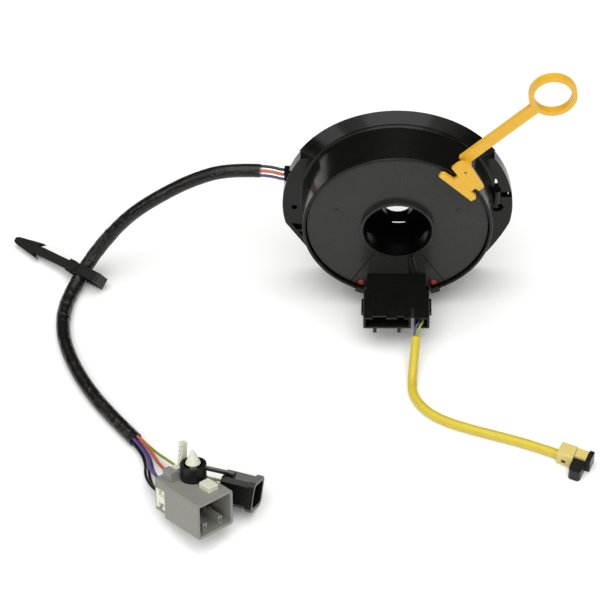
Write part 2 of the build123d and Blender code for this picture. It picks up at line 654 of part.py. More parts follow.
def connector_tower():
    """Housing that stands on the carrier and faces the wheel: a wide mouth, a slot and the squib pocket."""
    left, right = TOWER_LEFT - TOWER_STEP, TOWER_RIGHT + TOWER_STEP
    top, low = TOWER_TOP_Z, TOWER_BOTTOM_Z
    front = TOWER_FRONT_Y
    tower = block(left, right, front, TOWER_STEP_Y, low, top)
    tower += block(TOWER_LEFT, TOWER_RIGHT, TOWER_STEP_Y, DISC_FRONT_Y, low, top)
    edges = tower.edges().filter_by(Axis.Y).filter_by(lambda e: e.center().Y < TOWER_STEP_Y)
    tower = fillet(edges, 0.8)
    wall = TOWER_WALL
    tower -= block(left + wall, MOUTH_RIGHT, front - 1, front + MOUTH_DEPTH, low + wall, top - wall)
    tower -= block(SPLIT_LEFT, SPLIT_RIGHT, front - 1, front + SPLIT_DEPTH, low - 1, top + 1)
    tower -= block(SPLIT_RIGHT + wall, right - wall, front - 1, front + SQUIB_POCKET_DEPTH,
                   low + wall, top - wall)
    for x0, x1 in NOTCH_XS:
        tower -= block(x0, x1, front - 1, front + NOTCH_DEPTH, top - wall - PIECE_GAP, top + 1)
    for x in (left - RAIL_W, right):
        tower += block(x, x + RAIL_W, RAIL_FRONT_Y, RAIL_BACK_Y, low, low + RAIL_H)
    for x in PRONG_XS:
        tower += block(x - PRONG_W / 2, x + PRONG_W / 2, front, front + PRONG_L, low - PRONG_H, low)
    return tower


def tower_blades():
    blades = []
    back = TOWER_FRONT_Y + MOUTH_DEPTH
    middle_x = (TOWER_LEFT - TOWER_STEP + TOWER_WALL + MOUTH_RIGHT) / 2
    middle_z = (TOWER_TOP_Z + TOWER_BOTTOM_Z) / 2
    for i in range(BLADE_COUNT):
        x = middle_x + (i - (BLADE_COUNT - 1) / 2) * BLADE_PITCH
        half = BLADE_W / 2
        blade = block(x - half, x + half, back - BLADE_PROUD, back, middle_z - half, middle_z + half)
        blades.append(blade)
    return Compound(children=blades)


def face_wires():
    """Two thin leads that lie on the disc between the hub and the tower."""
    radius = FACE_WIRE_D / 2
    wires = []
    for start_x, end_x in FACE_WIRE_XS:
        y = DISC_FRONT_Y - radius - 0.02
        start = Vector(start_x, y, -HUB_OUT_R - PIECE_GAP - FACE_WIRE_START)
        end = Vector(end_x, y, TOWER_TOP_Z + FACE_WIRE_STOP)
        path = Line(start, end)
        wires.append(sweep(Plane(origin=start, z_dir=end - start) * Circle(radius), path=path))
    return Compound(children=wires)


# ================================================================ lock
def lock_tab():
    """Shipping lock, one moulding: toothed plate on the disc, neck round the lip, arm and pull ring."""
    turn = Rot(0, 0, LOCK_ANGLE - 90)
    front = LIP_Y - LOCK_GAP - LOCK_T
    back = LIP_Y - LOCK_GAP
    plate = Pos(0, LIP_R) * (outline(LOCK_PLATE) - Pos(*LOCK_HOLE) * Circle(LOCK_HOLE_R))
    lock = slab(turn * plate, front, back)
    neck = Rectangle(LOCK_ARM_W - LOCK_NECK_TRIM, LOCK_NECK_L)
    neck = Pos(LOCK_NECK_U, LOCK_NECK_W + LOCK_NECK_L / 2) * neck
    lock += slab(turn * neck, front, LOCK_ARM_Y + LOCK_ARM_T)
    arm_len = LOCK_RING_W - LOCK_RING_OUT_R - LOCK_NECK_W + LOCK_RING_WALL / 2
    arm = Pos(LOCK_ARM_U, LOCK_NECK_W + arm_len / 2) * Rectangle(LOCK_ARM_W, arm_len)
    lock += slab(turn * arm, LOCK_ARM_Y, LOCK_ARM_Y + LOCK_ARM_T)
    ring = Circle(LOCK_RING_OUT_R) - Circle(LOCK_RING_OUT_R - LOCK_RING_WALL)
    ring_front = LOCK_ARM_Y + (LOCK_ARM_T - LOCK_RING_T) / 2
    lock += slab(turn * Pos(LOCK_ARM_U, LOCK_RING_W) * ring, ring_front, ring_front + LOCK_RING_T)
    lock += slab(lock_peg(), back, DISC_FRONT_Y + LOCK_PEG_REACH)
    return lock


# ================================================================ harness
GUIDE_FRONT_Y = COVER_BACK_Y
GUIDE_BACK_Y = GUIDE_FRONT_Y + GUIDE_W
GUIDE_MID_Y = (GUIDE_FRONT_Y + GUIDE_BACK_Y) / 2


def guide_block(gap=0.0):
    half = GUIDE_H / 2 + gap
    return block(GUIDE_X - gap, GUIDE_X + GUIDE_L + gap, GUIDE_FRONT_Y - gap, GUIDE_BACK_Y + gap,
                 GUIDE_Z - half, GUIDE_Z + half)


def wire_exit_guide():
    """Short channel on the back of the cover that the wires leave through."""
    wall = GUIDE_WALL
    half = GUIDE_H / 2 - wall
    inner = block(GUIDE_X - 1, GUIDE_X + GUIDE_L - wall, GUIDE_FRONT_Y + wall, GUIDE_BACK_Y - wall,
                  GUIDE_Z - half, GUIDE_Z + half)
    return guide_block() - inner


def plane_along(point, towards, across):
    """Plane at a point, its normal along one direction and its x as near as can be to another."""
    normal = Vector(*towards).normalized()
    side = Vector(*across)
    side = side - normal * side.dot(normal)
    return Plane(origin=point, x_dir=side, z_dir=normal)


def route_end(route, first):
    """Direction of travel in the first or the last run of a route."""
    a, b = (route[0], route[1]) if first else (route[-2], route[-1])
    return Vector(*b) - Vector(*a)


def bundle(start, start_spots, end, end_spots, lead_in, lead_out, diameter):
    """Wires that leave one plane square and arrive square on another."""
    made = []
    for (u, v), (p, q) in zip(start_spots, end_spots):
        places = [(start, u, v, 0), (start, u, v, lead_in), (end, p, q, -lead_out), (end, p, q, 0)]
        route = [plane.from_local_coords((x, y, z)) for plane, x, y, z in places]
        made.append(cord(route, diameter))
    return Compound(children=made)


def exit_wires():
    start = plane_along((GUIDE_X + EXIT_WIRE_START, GUIDE_MID_Y, GUIDE_Z), (-1, 0, 0), (0, 1, 0))
    end = plane_along(SLEEVE_ROUTE[0], route_end(SLEEVE_ROUTE, True), (0, 1, 0))
    return bundle(start, WIRE_SPOTS_4, end, WIRE_SPOTS_4, EXIT_WIRE_LEAD, EXIT_WIRE_LEAD, WIRE_D)


# ================================================================ edge clip
def clip_plane():
    """Square to the sleeve, half way along one of its runs: x points out along the clip."""
    here = Vector(*SLEEVE_ROUTE[CLIP_RUN])
    run = Vector(*SLEEVE_ROUTE[CLIP_RUN + 1]) - here
    return plane_along(here + run * 0.5, run, CLIP_TOWARDS)


CLIP_IN_R = SLEEVE_D / 2 + PIECE_GAP
CLIP_OUT_R = CLIP_IN_R + CLIP_BAND_T
CLIP_BASE_X = CLIP_OUT_R + CLIP_BASE_L


def clip_strap():
    """Band round the sleeve, a long loop on one side and a ribbed base on the other."""
    def loop(radius, end):
        return Circle(radius) + Pos(end / 2, 0) * RectangleRounded(-end, 2 * radius, CLIP_BAND_T)

    band = loop(CLIP_OUT_R, CLIP_LOOP_END) - loop(CLIP_IN_R, CLIP_LOOP_END + 2 * CLIP_BAND_T)
    base_x = (CLIP_IN_R + CLIP_BASE_X) / 2
    base = Pos(base_x, 0) * Rectangle(CLIP_BASE_X - CLIP_IN_R, CLIP_BASE_H)
    band += base - Circle(CLIP_IN_R)
    strap = extrude(band, CLIP_BAND_W / 2, both=True)
    pitch = CLIP_BASE_L / CLIP_RIB_COUNT
    for i in range(CLIP_RIB_COUNT):
        x = CLIP_OUT_R + pitch * (i + 0.5)
        strap += Pos(x, 0, 0) * Box(pitch / 2, CLIP_BASE_H, CLIP_BAND_W + 2 * CLIP_RIB)
    return clip_plane() * strap


def edge_clip():
    """Flat shaft with a barbed head that pushes into a hole in the body panel."""
    start = CLIP_BASE_X
    neck = start + CLIP_SHAFT_L
    tip = start + CLIP_SHAFT_L + CLIP_HEAD_L
    half = CLIP_SHAFT_W / 2
    nose = tip - CLIP_NOSE_W
    barb = CLIP_BARB_W
    root = neck + CLIP_BARB_ROOT
    blunt = CLIP_NOSE_W / 2
    shape = outline([
        (start, -half), (root, -half), (neck, -barb), (nose, -CLIP_NOSE_W), (tip, -blunt),
        (tip, blunt), (nose, CLIP_NOSE_W), (neck, barb), (root, half), (start, half),
    ])
    clip = extrude(shape, CLIP_SHAFT_T / 2, both=True)
    return clip_plane() * Rot(90, 0, 0) * clip


# ================================================================ plugs
def resting(corner, heading, pitch, roll):
    """Frame of a plug that lies at an angle: x to its mouth, y to its far side, z out of its top."""
    return Pos(*corner) * Rot(0, 0, heading) * Rot(0, -pitch, 0) * Rot(roll, 0, 0)


def grey_frame():
    """The plug rests on the far lower corner of its rear end."""
    return resting(GREY_CORNER, GREY_HEADING, GREY_PITCH, GREY_ROLL) * Pos(0, -GREY_W, 0)


def grey_lock_block(gap=0.0):
    x = GREY_LOCK_X
    y = GREY_REAR_INSET
    z = GREY_LOCK_Z
    return block(x - gap, x + GREY_LOCK_L + gap, y - GREY_LOCK_PROUD, y + GREY_LOCK_DEPTH + gap,
                 z - gap, z + GREY_LOCK_H + gap)


def grey_plug_body():
    """Wire housing at the back and a wider shroud with a deep mouth in front."""
    w, h = GREY_W, GREY_H
    inset = GREY_REAR_INSET
    shroud = block(GREY_REAR_L, GREY_L, 0, w, 0, h)
    shroud = fillet(shroud.edges().filter_by(Axis.X), GREY_ROUND)
    body = shroud + block(0, GREY_REAR_L, inset, w - inset, inset, h)
    wall = GREY_WALL
    back = GREY_L - GREY_MOUTH_DEPTH
    body -= block(back, GREY_L + 1, wall, w - wall, wall, h - wall)
    body -= grey_lock_block(PIECE_GAP)
    for y in GREY_KEY_YS:
        front = GREY_L - GREY_KEY_BACK
        key = block(back, front, y - GREY_KEY_W / 2, y + GREY_KEY_W / 2, wall, wall + GREY_KEY_H)
        bore_low = wall + (GREY_KEY_H - GREY_KEY_BORE * 2) / 2
        key -= block(front - GREY_KEY_BORE_L, front + 1, y - GREY_KEY_BORE / 2, y + GREY_KEY_BORE / 2,
                     bore_low, bore_low + GREY_KEY_BORE * 2)
        body += key
    for i in range(GREY_RIB_COUNT):
        z = (h - GREY_RIB_W) / 2 + (i - (GREY_RIB_COUNT - 1) / 2) * GREY_RIB_PITCH
        body += block(GREY_L - GREY_RIB_L - 1, GREY_L - 1, w, w + GREY_RIB_PROUD, z, z + GREY_RIB_W)
    x0, x1, y0, y1, ridge_h = GREY_RIDGE
    body += block(x0, x1, y0, y1, h, h + ridge_h)
    return grey_frame() * body


def grey_plug_lock():
    """White secondary lock in the near side of the wire housing."""
    lock = grey_lock_block()
    y = GREY_REAR_INSET - GREY_LOCK_PROUD
    mid = GREY_LOCK_Z + GREY_LOCK_H / 2
    slot = GREY_LOCK_SLOT
    right = GREY_LOCK_X + GREY_LOCK_L
    for z in (mid - GREY_LOCK_H / 4, mid + GREY_LOCK_H / 4):
        lock -= block(right - GREY_LOCK_L / 2, right + 1, y - 1, y + slot, z - slot, z + slot)
    waist = GREY_LOCK_X + GREY_LOCK_L / 2
    low, top = GREY_LOCK_Z, GREY_LOCK_Z + GREY_LOCK_H
    for z0, z1 in ((low - 1, low + GREY_LOCK_NOTCH), (top - GREY_LOCK_NOTCH, top + 1)):
        deep = y + GREY_LOCK_DEPTH / 2
        lock -= block(waist - GREY_LOCK_WAIST, waist + GREY_LOCK_WAIST, y - 1, deep, z0, z1)
    return grey_frame() * lock


def pin_rows(back, length, half, y_mid, z_mid, columns, rows, pitch):
    pins = []
    for row in range(rows):
        for col in range(columns):
            y = y_mid + (col - (columns - 1) / 2) * pitch
            z = z_mid + (row - (rows - 1) / 2) * pitch
            pins.append(block(back, back + length, y - half, y + half, z - half, z + half))
    return Compound(children=pins)


def grey_plug_pins():
    pins = pin_rows(GREY_L - GREY_MOUTH_DEPTH, GREY_PIN_L, GREY_PIN_W / 2, GREY_W / 2, GREY_H * 0.6,
                    GREY_PIN_COLS, GREY_PIN_ROWS, GREY_PIN_PITCH)
    return grey_frame() * pins


def end_of_sleeve():
    """End of the sleeve by the plugs: x across it, level, and y up."""
    travel = route_end(SLEEVE_ROUTE, False).normalized()
    return Plane(origin=SLEEVE_ROUTE[-1], x_dir=Vector(-travel.Y, travel.X, 0), z_dir=travel)


def rear_of(frame):
    """Rear face of a plug, its normal along the plug and its x and y the plug's own y and z."""
    rear = Plane(origin=(0, 0, 0), x_dir=(0, 1, 0), z_dir=(1, 0, 0))
    return Plane(frame * Location(rear))


def plug_wires():
    """Wires from the sleeve into the back of the grey plug."""
    ring = [(WIRE_RING_R * cos(radians(a)), WIRE_RING_R * sin(radians(a))) for a in PLUG_WIRE_ANGLES]
    return bundle(end_of_sleeve(), [(0.0, 0.0)] + ring, rear_of(grey_frame()), PLUG_WIRE_ENDS,
                  PLUG_WIRE_LEAD, PLUG_WIRE_LEAD, WIRE_D)


def black_plug_wires():
    """Two wires that pass behind the grey plug to the black one."""
    start = end_of_sleeve()
    end = rear_of(black_frame())
    made = []
    for (u, v), mids, (p, q) in zip(BLACK_WIRE_STARTS, BLACK_WIRE_MIDS, BLACK_WIRE_ENDS):
        route = [start.from_local_coords((u, v, 0)), start.from_local_coords((u, v, PLUG_WIRE_LEAD))]
        route += [Vector(*mid) for mid in mids]
        route += [end.from_local_coords((p, q, -BLACK_WIRE_LEAD)), end.from_local_coords((p, q, 0))]
        made.append(cord(route, BLACK_WIRE_D))
    return Compound(children=made)


def nylon_post():
    """Notched post that stands on the rear of the grey plug."""
    x0, x1 = POST_X
    y0, y1 = POST_Y
    post = block(x0, x1, y0, y1, 0, POST_L)
    for i in range(4):
        z = POST_L - 2.5 - i * 2.4
        post -= block(x0 - 1, x1 + 1, y0 - 1, y0 + POST_NOTCH, z, z + 1.0)
    lean = Pos(0, y0, 0) * Rot(-POST_LEAN, 0, 0) * Pos(0, -y0, 0)
    post = lean * post
    post -= block(x0 - 5, x1 + 5, y0 - 5, y1 + 5, -5, 0)
    fx0, fx1, fy0, fy1, foot_h = POST_FOOT
    post += block(fx0, fx1, fy0, fy1, 0, foot_h)
    post += block(fx0, fx1, fy0, y1, 0, foot_h / 2)
    return grey_frame() * Pos(0, 0, GREY_H) * post


def nylon_block():
    body = block(BLOCK_X[0], BLOCK_X[1], BLOCK_Y[0], BLOCK_Y[1], 0, BLOCK_H)
    body = fillet(body.edges().filter_by(Axis.Z), BLOCK_ROUND)
    body = chamfer(body.faces().sort_by(Axis.Z)[-1].edges(), BLOCK_ROUND / 2)
    return grey_frame() * Pos(0, 0, GREY_H) * body


def plug_strap():
    """Black strap: a ring on the grey plug and a neck to a foot on the black one."""
    to_black = grey_frame().inverse() * black_frame()
    ring = Pos(STRAP_X, STRAP_Y, GREY_H) * extrude(Circle(STRAP_R) - Circle(STRAP_R - STRAP_T), STRAP_H)
    x0, x1, y0, y1, foot_h = BLACK_FOOT
    foot = to_black * block(x0, x1, y0, y1, BLACK_H, BLACK_H + foot_h)
    start = Vector(*STRAP_NECK_FROM) + Vector(0, 0, GREY_H)
    foot_mid = (to_black * Pos((x0 + x1) / 2, (y0 + y1) / 2, BLACK_H + foot_h / 2)).position
    neck_line = Line(start, foot_mid)
    profile = plane_along(start, neck_line % 0, (0, 0, 1)) * Rectangle(STRAP_NECK_T, STRAP_NECK_W)
    neck = sweep(profile, path=neck_line)
    neck -= to_black * block(-BLACK_L, BLACK_L, -BLACK_W, BLACK_W, 0, BLACK_H)
    return grey_frame() * (ring + foot + neck)


def nylon_tip():
    """Arrow-headed nylon pin that stands in the ring of the strap."""
    tip = Pos(0, 0, 0) * extrude(Circle(TIP_R), TIP_SHANK_L)
    head = Cone(TIP_HEAD_R, 0.6, TIP_HEAD_L, align=(Align.CENTER, Align.CENTER, Align.MIN))
    tip += Pos(0, 0, TIP_SHANK_L) * head
    return grey_frame() * Pos(STRAP_X, STRAP_Y, GREY_H) * tip


def black_frame():
    return resting(BLACK_CORNER, BLACK_HEADING, 0.0, BLACK_ROLL)


def black_plug_body():
    w, h = BLACK_W, BLACK_H
    body = block(0, BLACK_L, 0, w, 0, h)
    body = chamfer(body.edges().filter_by(Axis.X), BLACK_CHAMFER)
    proud = BLACK_COLLAR
    collar = block(BLACK_L - BLACK_COLLAR_L, BLACK_L, -proud, w + proud, -proud, h + proud)
    body += chamfer(collar.edges().filter_by(Axis.X), BLACK_CHAMFER)
    wall = BLACK_WALL
    mouth = block(BLACK_L - BLACK_MOUTH_DEPTH, BLACK_L + 1, wall, w - wall, wall, h - wall)
    mouth = chamfer(mouth.edges().filter_by(Axis.X), BLACK_CHAMFER - wall / 2)
    return black_frame() * (body - mouth)


def black_plug_pins():
    pins = pin_rows(BLACK_L - BLACK_MOUTH_DEPTH, BLACK_PIN_L, BLADE_W / 2, BLACK_W / 2, BLACK_H / 2,
                    BLACK_PIN_COLS, 2, BLACK_PIN_PITCH)
    return black_frame() * pins


# ================================================================ squib lead
def squib_wires():
    """Two wires from the tower's right-hand mouth into the lead's sleeve."""
    x = (SPLIT_RIGHT + TOWER_RIGHT + TOWER_STEP) / 2
    z = (TOWER_TOP_Z + TOWER_BOTTOM_Z) / 2
    start = plane_along((x, TOWER_FRONT_Y + SQUIB_POCKET_DEPTH, z), (0, -1, 0), (1, 0, 0))
    end = plane_along(SQUIB_ROUTE[0], route_end(SQUIB_ROUTE, True), (1, 0, 0))
    spots = [(-SQUIB_WIRE_SPREAD, 0.0), (SQUIB_WIRE_SPREAD, 0.0)]
    return bundle(start, spots, end, spots, SQUIB_WIRE_LEAD_IN, SQUIB_WIRE_LEAD_OUT, SQUIB_WIRE_D)


def squib_frame():
    """Frame at the end of the lead, on the floor: x on along the lead."""
    end = SQUIB_ROUTE[-1]
    travel = route_end(SQUIB_ROUTE, False)
    return Pos(end[0], end[1], FLOOR_Z) * Rot(0, 0, degrees(atan2(travel.Y, travel.X)))


def squib_plug_body():
    half = SQUIB_BODY_W / 2
    body = block(0, SQUIB_BODY_L, -half, half, 0, SQUIB_BODY_H)
    body = fillet(body.edges().filter_by(Axis.X), SQUIB_BODY_ROUND)
    x, z = SQUIB_WINDOW_X, SQUIB_WINDOW_Z
    window = SQUIB_WINDOW / 2
    body -= block(x - window, x + window, -half - 1, SQUIB_WINDOW_DEPTH - half, z - window, z + window)
    return squib_frame() * body


def squib_plug_nose():
    """Right-angled nose that clips into the airbag's igniter, with its flange."""
    x = SQUIB_BODY_L
    half = SQUIB_BODY_W / 2
    nose = block(x, x + SQUIB_NOSE_L, -half - SQUIB_NOSE_DROP, half, 0, SQUIB_BODY_H - SQUIB_LOCK_T)
    tip = nose.edges().filter_by(Axis.Z).group_by(Axis.Y)[0]
    nose = fillet(tip, SQUIB_NOSE_ROUND)
    front = x + SQUIB_NOSE_L
    nose += block(front, front + SQUIB_FLANGE_L, SQUIB_FLANGE_SET - half, half, 0, SQUIB_BODY_H)
    return squib_frame() * nose


def squib_plug_lock():
    """Yellow slide that locks the nose, in the step between the body and the flange."""
    x = SQUIB_BODY_L + PIECE_GAP
    low = SQUIB_BODY_H - SQUIB_LOCK_T
    half = SQUIB_LOCK_W / 2
    lock = block(x, x + SQUIB_NOSE_L - 2 * PIECE_GAP, -half, half + 1, low, low + SQUIB_LOCK_T)
    return squib_frame() * lock


def build_all():
    pieces = {
        "outer_case": outer_case(),
        "rear_cover": rear_cover(),
        "cover_screws": cover_screws(),
        "ribbon_cable": ribbon_cable(),
        "wire_exit_guide": wire_exit_guide(),
        "rotor_disc": rotor_disc(),
        "hub_sleeve": hub_sleeve(),
        "retaining_ring": retaining_ring(),
        "connector_carrier": connector_carrier(),
        "carrier_rivets": carrier_rivets(),
        "connector_tower": connector_tower(),
        "tower_blades": tower_blades(),
        "face_wires": face_wires(),
        "lock_tab": lock_tab(),
        "exit_wires": exit_wires(),
        "harness_sleeve": cord(SLEEVE_ROUTE, SLEEVE_D),
        "clip_strap": clip_strap(),
        "edge_clip": edge_clip(),
        "plug_wires": plug_wires(),
        "grey_plug_body": grey_plug_body(),
        "grey_plug_lock": grey_plug_lock(),
        "grey_plug_pins": grey_plug_pins(),
        "nylon_post": nylon_post(),
        "nylon_block": nylon_block(),
        "nylon_tip": nylon_tip(),
        "plug_strap": plug_strap(),
        "black_plug_wires": black_plug_wires(),
        "black_plug_body": black_plug_body(),
        "black_plug_pins": black_plug_pins(),
        "squib_wires": squib_wires(),
        "squib_sleeve": cord(SQUIB_ROUTE, SQUIB_D),
        "squib_plug_body": squib_plug_body(),
        "squib_plug_nose": squib_plug_nose(),
        "squib_plug_lock": squib_plug_lock(),
    }
    os.makedirs("parts", exist_ok=True)
    for name, shape in pieces.items():
        export_step(shape, f"parts/{name}.step")


build_all()
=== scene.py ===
import math

import bmesh
import bpy
from mathutils import Matrix, Vector


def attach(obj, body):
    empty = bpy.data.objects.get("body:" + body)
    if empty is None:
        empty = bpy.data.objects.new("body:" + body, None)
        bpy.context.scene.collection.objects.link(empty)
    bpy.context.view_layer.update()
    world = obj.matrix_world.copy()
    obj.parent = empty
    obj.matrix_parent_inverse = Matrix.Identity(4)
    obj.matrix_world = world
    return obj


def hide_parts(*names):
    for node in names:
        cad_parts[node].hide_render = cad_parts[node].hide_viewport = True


bl_info = {
    "name": "Steering clock spring",
    "version": (1, 0, 0),
    "blender": (4, 5, 0),
    "location": "3D View > Sidebar > Clock spring",
    "description": "Dresses the clock spring of a steering column: its leads, tape, plugs and plastics",
    "category": "Object",
}

MM = 0.001
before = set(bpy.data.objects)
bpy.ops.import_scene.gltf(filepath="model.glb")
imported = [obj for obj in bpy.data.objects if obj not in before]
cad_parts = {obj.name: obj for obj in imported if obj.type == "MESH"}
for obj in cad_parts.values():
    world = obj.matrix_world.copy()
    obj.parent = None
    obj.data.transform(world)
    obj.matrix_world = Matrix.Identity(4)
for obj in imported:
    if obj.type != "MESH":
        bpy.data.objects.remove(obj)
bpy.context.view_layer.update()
ROUTE_STEPS, SECTION_STEPS, ARC_STEPS = 10, 6, 8
FLOOR_Z = -62.0 * MM
FLOOR_HALF = 6.0

# Camera: one metre from the front of the case, looking down at it.
CASE_FRONT_Y = -28.5 * MM
CAMERA_DISTANCE = 1.0
CAMERA_TILT = math.radians(44.0)
CAMERA_LENS, CAMERA_SENSOR = 105.6, 36.0
CAMERA_SHIFT = (-0.1625, -0.1168)

# Each lamp: its place, what it looks at, its width and height in metres, and its power in watts.
LAMPS = {
    "overhead": ((0.0, -0.2, 2.2), (0.0, -0.05, 0.0), 2.4, 2.4, 30.0),
    "front": ((0.0, -1.9, 0.75), (0.0, 0.0, 0.05), 1.1, 0.5, 6.0),
    "side": ((-1.8, -0.6, 0.9), (-0.1, 0.0, 0.0), 0.8, 0.8, 4.0),
}
# The bright ceiling: the way it leans, its edges as cosines off that way, and its walls' and its own light.
CEILING_TOWARDS = (0.0, -0.34, 0.94)
CEILING_EDGE = (0.35, 0.85)
CEILING_LIGHT = (0.05, 1.15)


def linear(hex_colour):
    """An sRGB hex colour as the linear values that a shader takes."""
    value = hex_colour.lstrip("#")
    out = []
    for i in (0, 2, 4):
        c = int(value[i:i + 2], 16) / 255
        out.append(c / 12.92 if c <= 0.04045 else ((c + 0.055) / 1.055) ** 2.4)
    return tuple(out)


# ---------------------------------------------------------------- routes, in millimetres
SLEEVE_ROUTE = [
    (-79.0, 7.0, 13.2), (-98.0, 8.5, 13.0), (-119.0, 8.0, 5.5), (-139.0, 7.0, -6.5), (-157.0, 6.0, -20.0),
    (-172.0, 3.5, -36.0), (-184.0, -2.5, -50.0), (-192.0, -15.0, -58.0), (-196.0, -33.0, -58.0),
    (-195.0, -53.0, -58.0), (-187.5, -74.0, -58.0), (-175.5, -95.5, -58.0), (-160.0, -116.0, -58.0),
    (-143.5, -134.0, -58.0),
]
AIRBAG_ROUTE = [
    (10.6, -68.0, -46.0), (10.1, -72.6, -50.6), (9.2, -80.3, -55.1), (8.2, -90.0, -59.4),
    (8.5, -100.5, -59.4), (15.0, -111.5, -59.4), (26.0, -119.5, -59.4), (41.0, -125.5, -59.4),
    (58.0, -131.0, -59.4), (74.0, -136.7, -59.4), (88.0, -143.0, -59.4),
]
# Each wire: the colour of its insulation and the control points of its route.
EXIT_WIRES = [
    ("red", [(-60.0, 6.3, 10.6), (-66.0, 6.3, 10.6), (-73.02, 6.53, 13.26), (-79.0, 7.0, 13.2)]),
    ("white", [(-60.0, 8.2, 8.7), (-66.0, 8.2, 8.7), (-72.85, 8.42, 11.36), (-78.83, 8.89, 11.3)]),
    ("violet", [(-60.0, 4.4, 8.7), (-66.0, 4.4, 8.7), (-73.15, 4.63, 11.36), (-79.13, 5.11, 11.3)]),
    ("orange", [(-60.0, 4.4, 12.5), (-66.0, 4.4, 12.5), (-73.19, 4.63, 15.16), (-79.17, 5.11, 15.1)]),
    ("black", [(-60.0, 8.2, 12.5), (-66.0, 8.2, 12.5), (-72.89, 8.42, 15.16), (-78.87, 8.89, 15.1)]),
]
GREY_PLUG_WIRES = [
    ("blue", [(-143.5, -134.0, -58.0), (-134.7, -143.6, -58.0), (-129.6, -165.1, -52.3),
              (-120.4, -173.7, -49.5)]),
    ("orange", [(-142.5, -133.1, -55.8), (-133.8, -142.7, -55.8), (-126.4, -160.6, -49.2),
                (-117.1, -169.2, -46.3)]),
    ("violet", [(-144.5, -134.9, -55.8), (-135.7, -144.5, -55.8), (-131.7, -165.4, -46.9),
                (-122.4, -174.1, -44.0)]),
    ("black", [(-145.4, -135.8, -58.0), (-136.6, -145.3, -58.0), (-134.2, -169.4, -50.7),
               (-124.9, -178.1, -47.8)]),
    ("black", [(-144.5, -134.9, -60.3), (-135.7, -144.5, -60.3), (-131.8, -168.8, -56.3),
               (-122.6, -177.4, -53.4)]),
]
BLACK_PLUG_WIRES = [
    ("lime", [(-141.6, -132.2, -58.0), (-132.8, -141.8, -58.0), (-122.0, -152.5, -54.5),
              (-112.2, -162.3, -52.0), (-99.9, -165.9, -50.6), (-91.3, -168.6, -50.6)]),
    ("white", [(-142.5, -133.1, -60.3), (-133.8, -142.7, -60.3), (-123.5, -154.5, -58.5),
               (-113.0, -164.0, -57.5), (-101.3, -170.5, -52.0), (-92.7, -173.1, -52.0)]),
]
AIRBAG_WIRES = [
    ("violet", [(12.9, -55.0, -41.65), (12.9, -61.0, -41.65), (9.99, -64.42, -42.42), (9.6, -67.95, -45.95)]),
    ("lime", [(14.9, -55.0, -41.65), (14.9, -61.0, -41.65), (11.98, -64.53, -42.53), (11.6, -68.05, -46.05)]),
]
# Tabs of the carrier that reach over the lip of the case: in degrees off straight down, and from the axis.
TAB_STEM = (21.6, 23.0, 48.3, 51.2)
TAB_PAD = (21.6, 27.5, 51.2, 54.2)
TAB_FRONT_Y, TAB_BACK_Y, DISC_Y = -30.3, -28.9, -26.5
COLLAR_BORE = 19.5
# Strap of the edge clip: the middle of its band, the clip's direction and the sleeve's.
CLIP_MIDDLE = Vector((-188.0, -8.75, -54.0))
CLIP_ALONG = Vector((-0.82, 0.57, -0.075))
SLEEVE_ALONG = Vector((-8.0, -12.5, -8.0)).normalized()
TOOTH_START, TOOTH_OUT, TOOTH_ASIDE = -2.2, 5.85, 2.0
TOOTH_SIZE = (0.9, 0.8, 4.0)
# Tape: where it starts and ends, as shares of the sleeve's length, and its lowest height over the sleeve.
TAPE_START, TAPE_END = 0.38, 0.62
TAPE_CLEAR = 0.05
TAPE_STEPS, TAPE_SIDES = 260, 40
# Latch in the window of the airbag plug: its outline along the plug and up, and its depth from the middle.
LATCH_OUTLINE = [(2.8, 2.3), (5.2, 2.3), (5.2, 4.7), (2.8, 4.7)]
LATCH_FRONT, LATCH_BACK = -4.35, -3.4
INSULATION = {
    "black": "#121211", "white": "#e6e4da", "red": "#b5231c", "orange": "#bd5430", "blue": "#34356f",
    "violet": "#4e3a7c", "lime": "#8f992f",
}


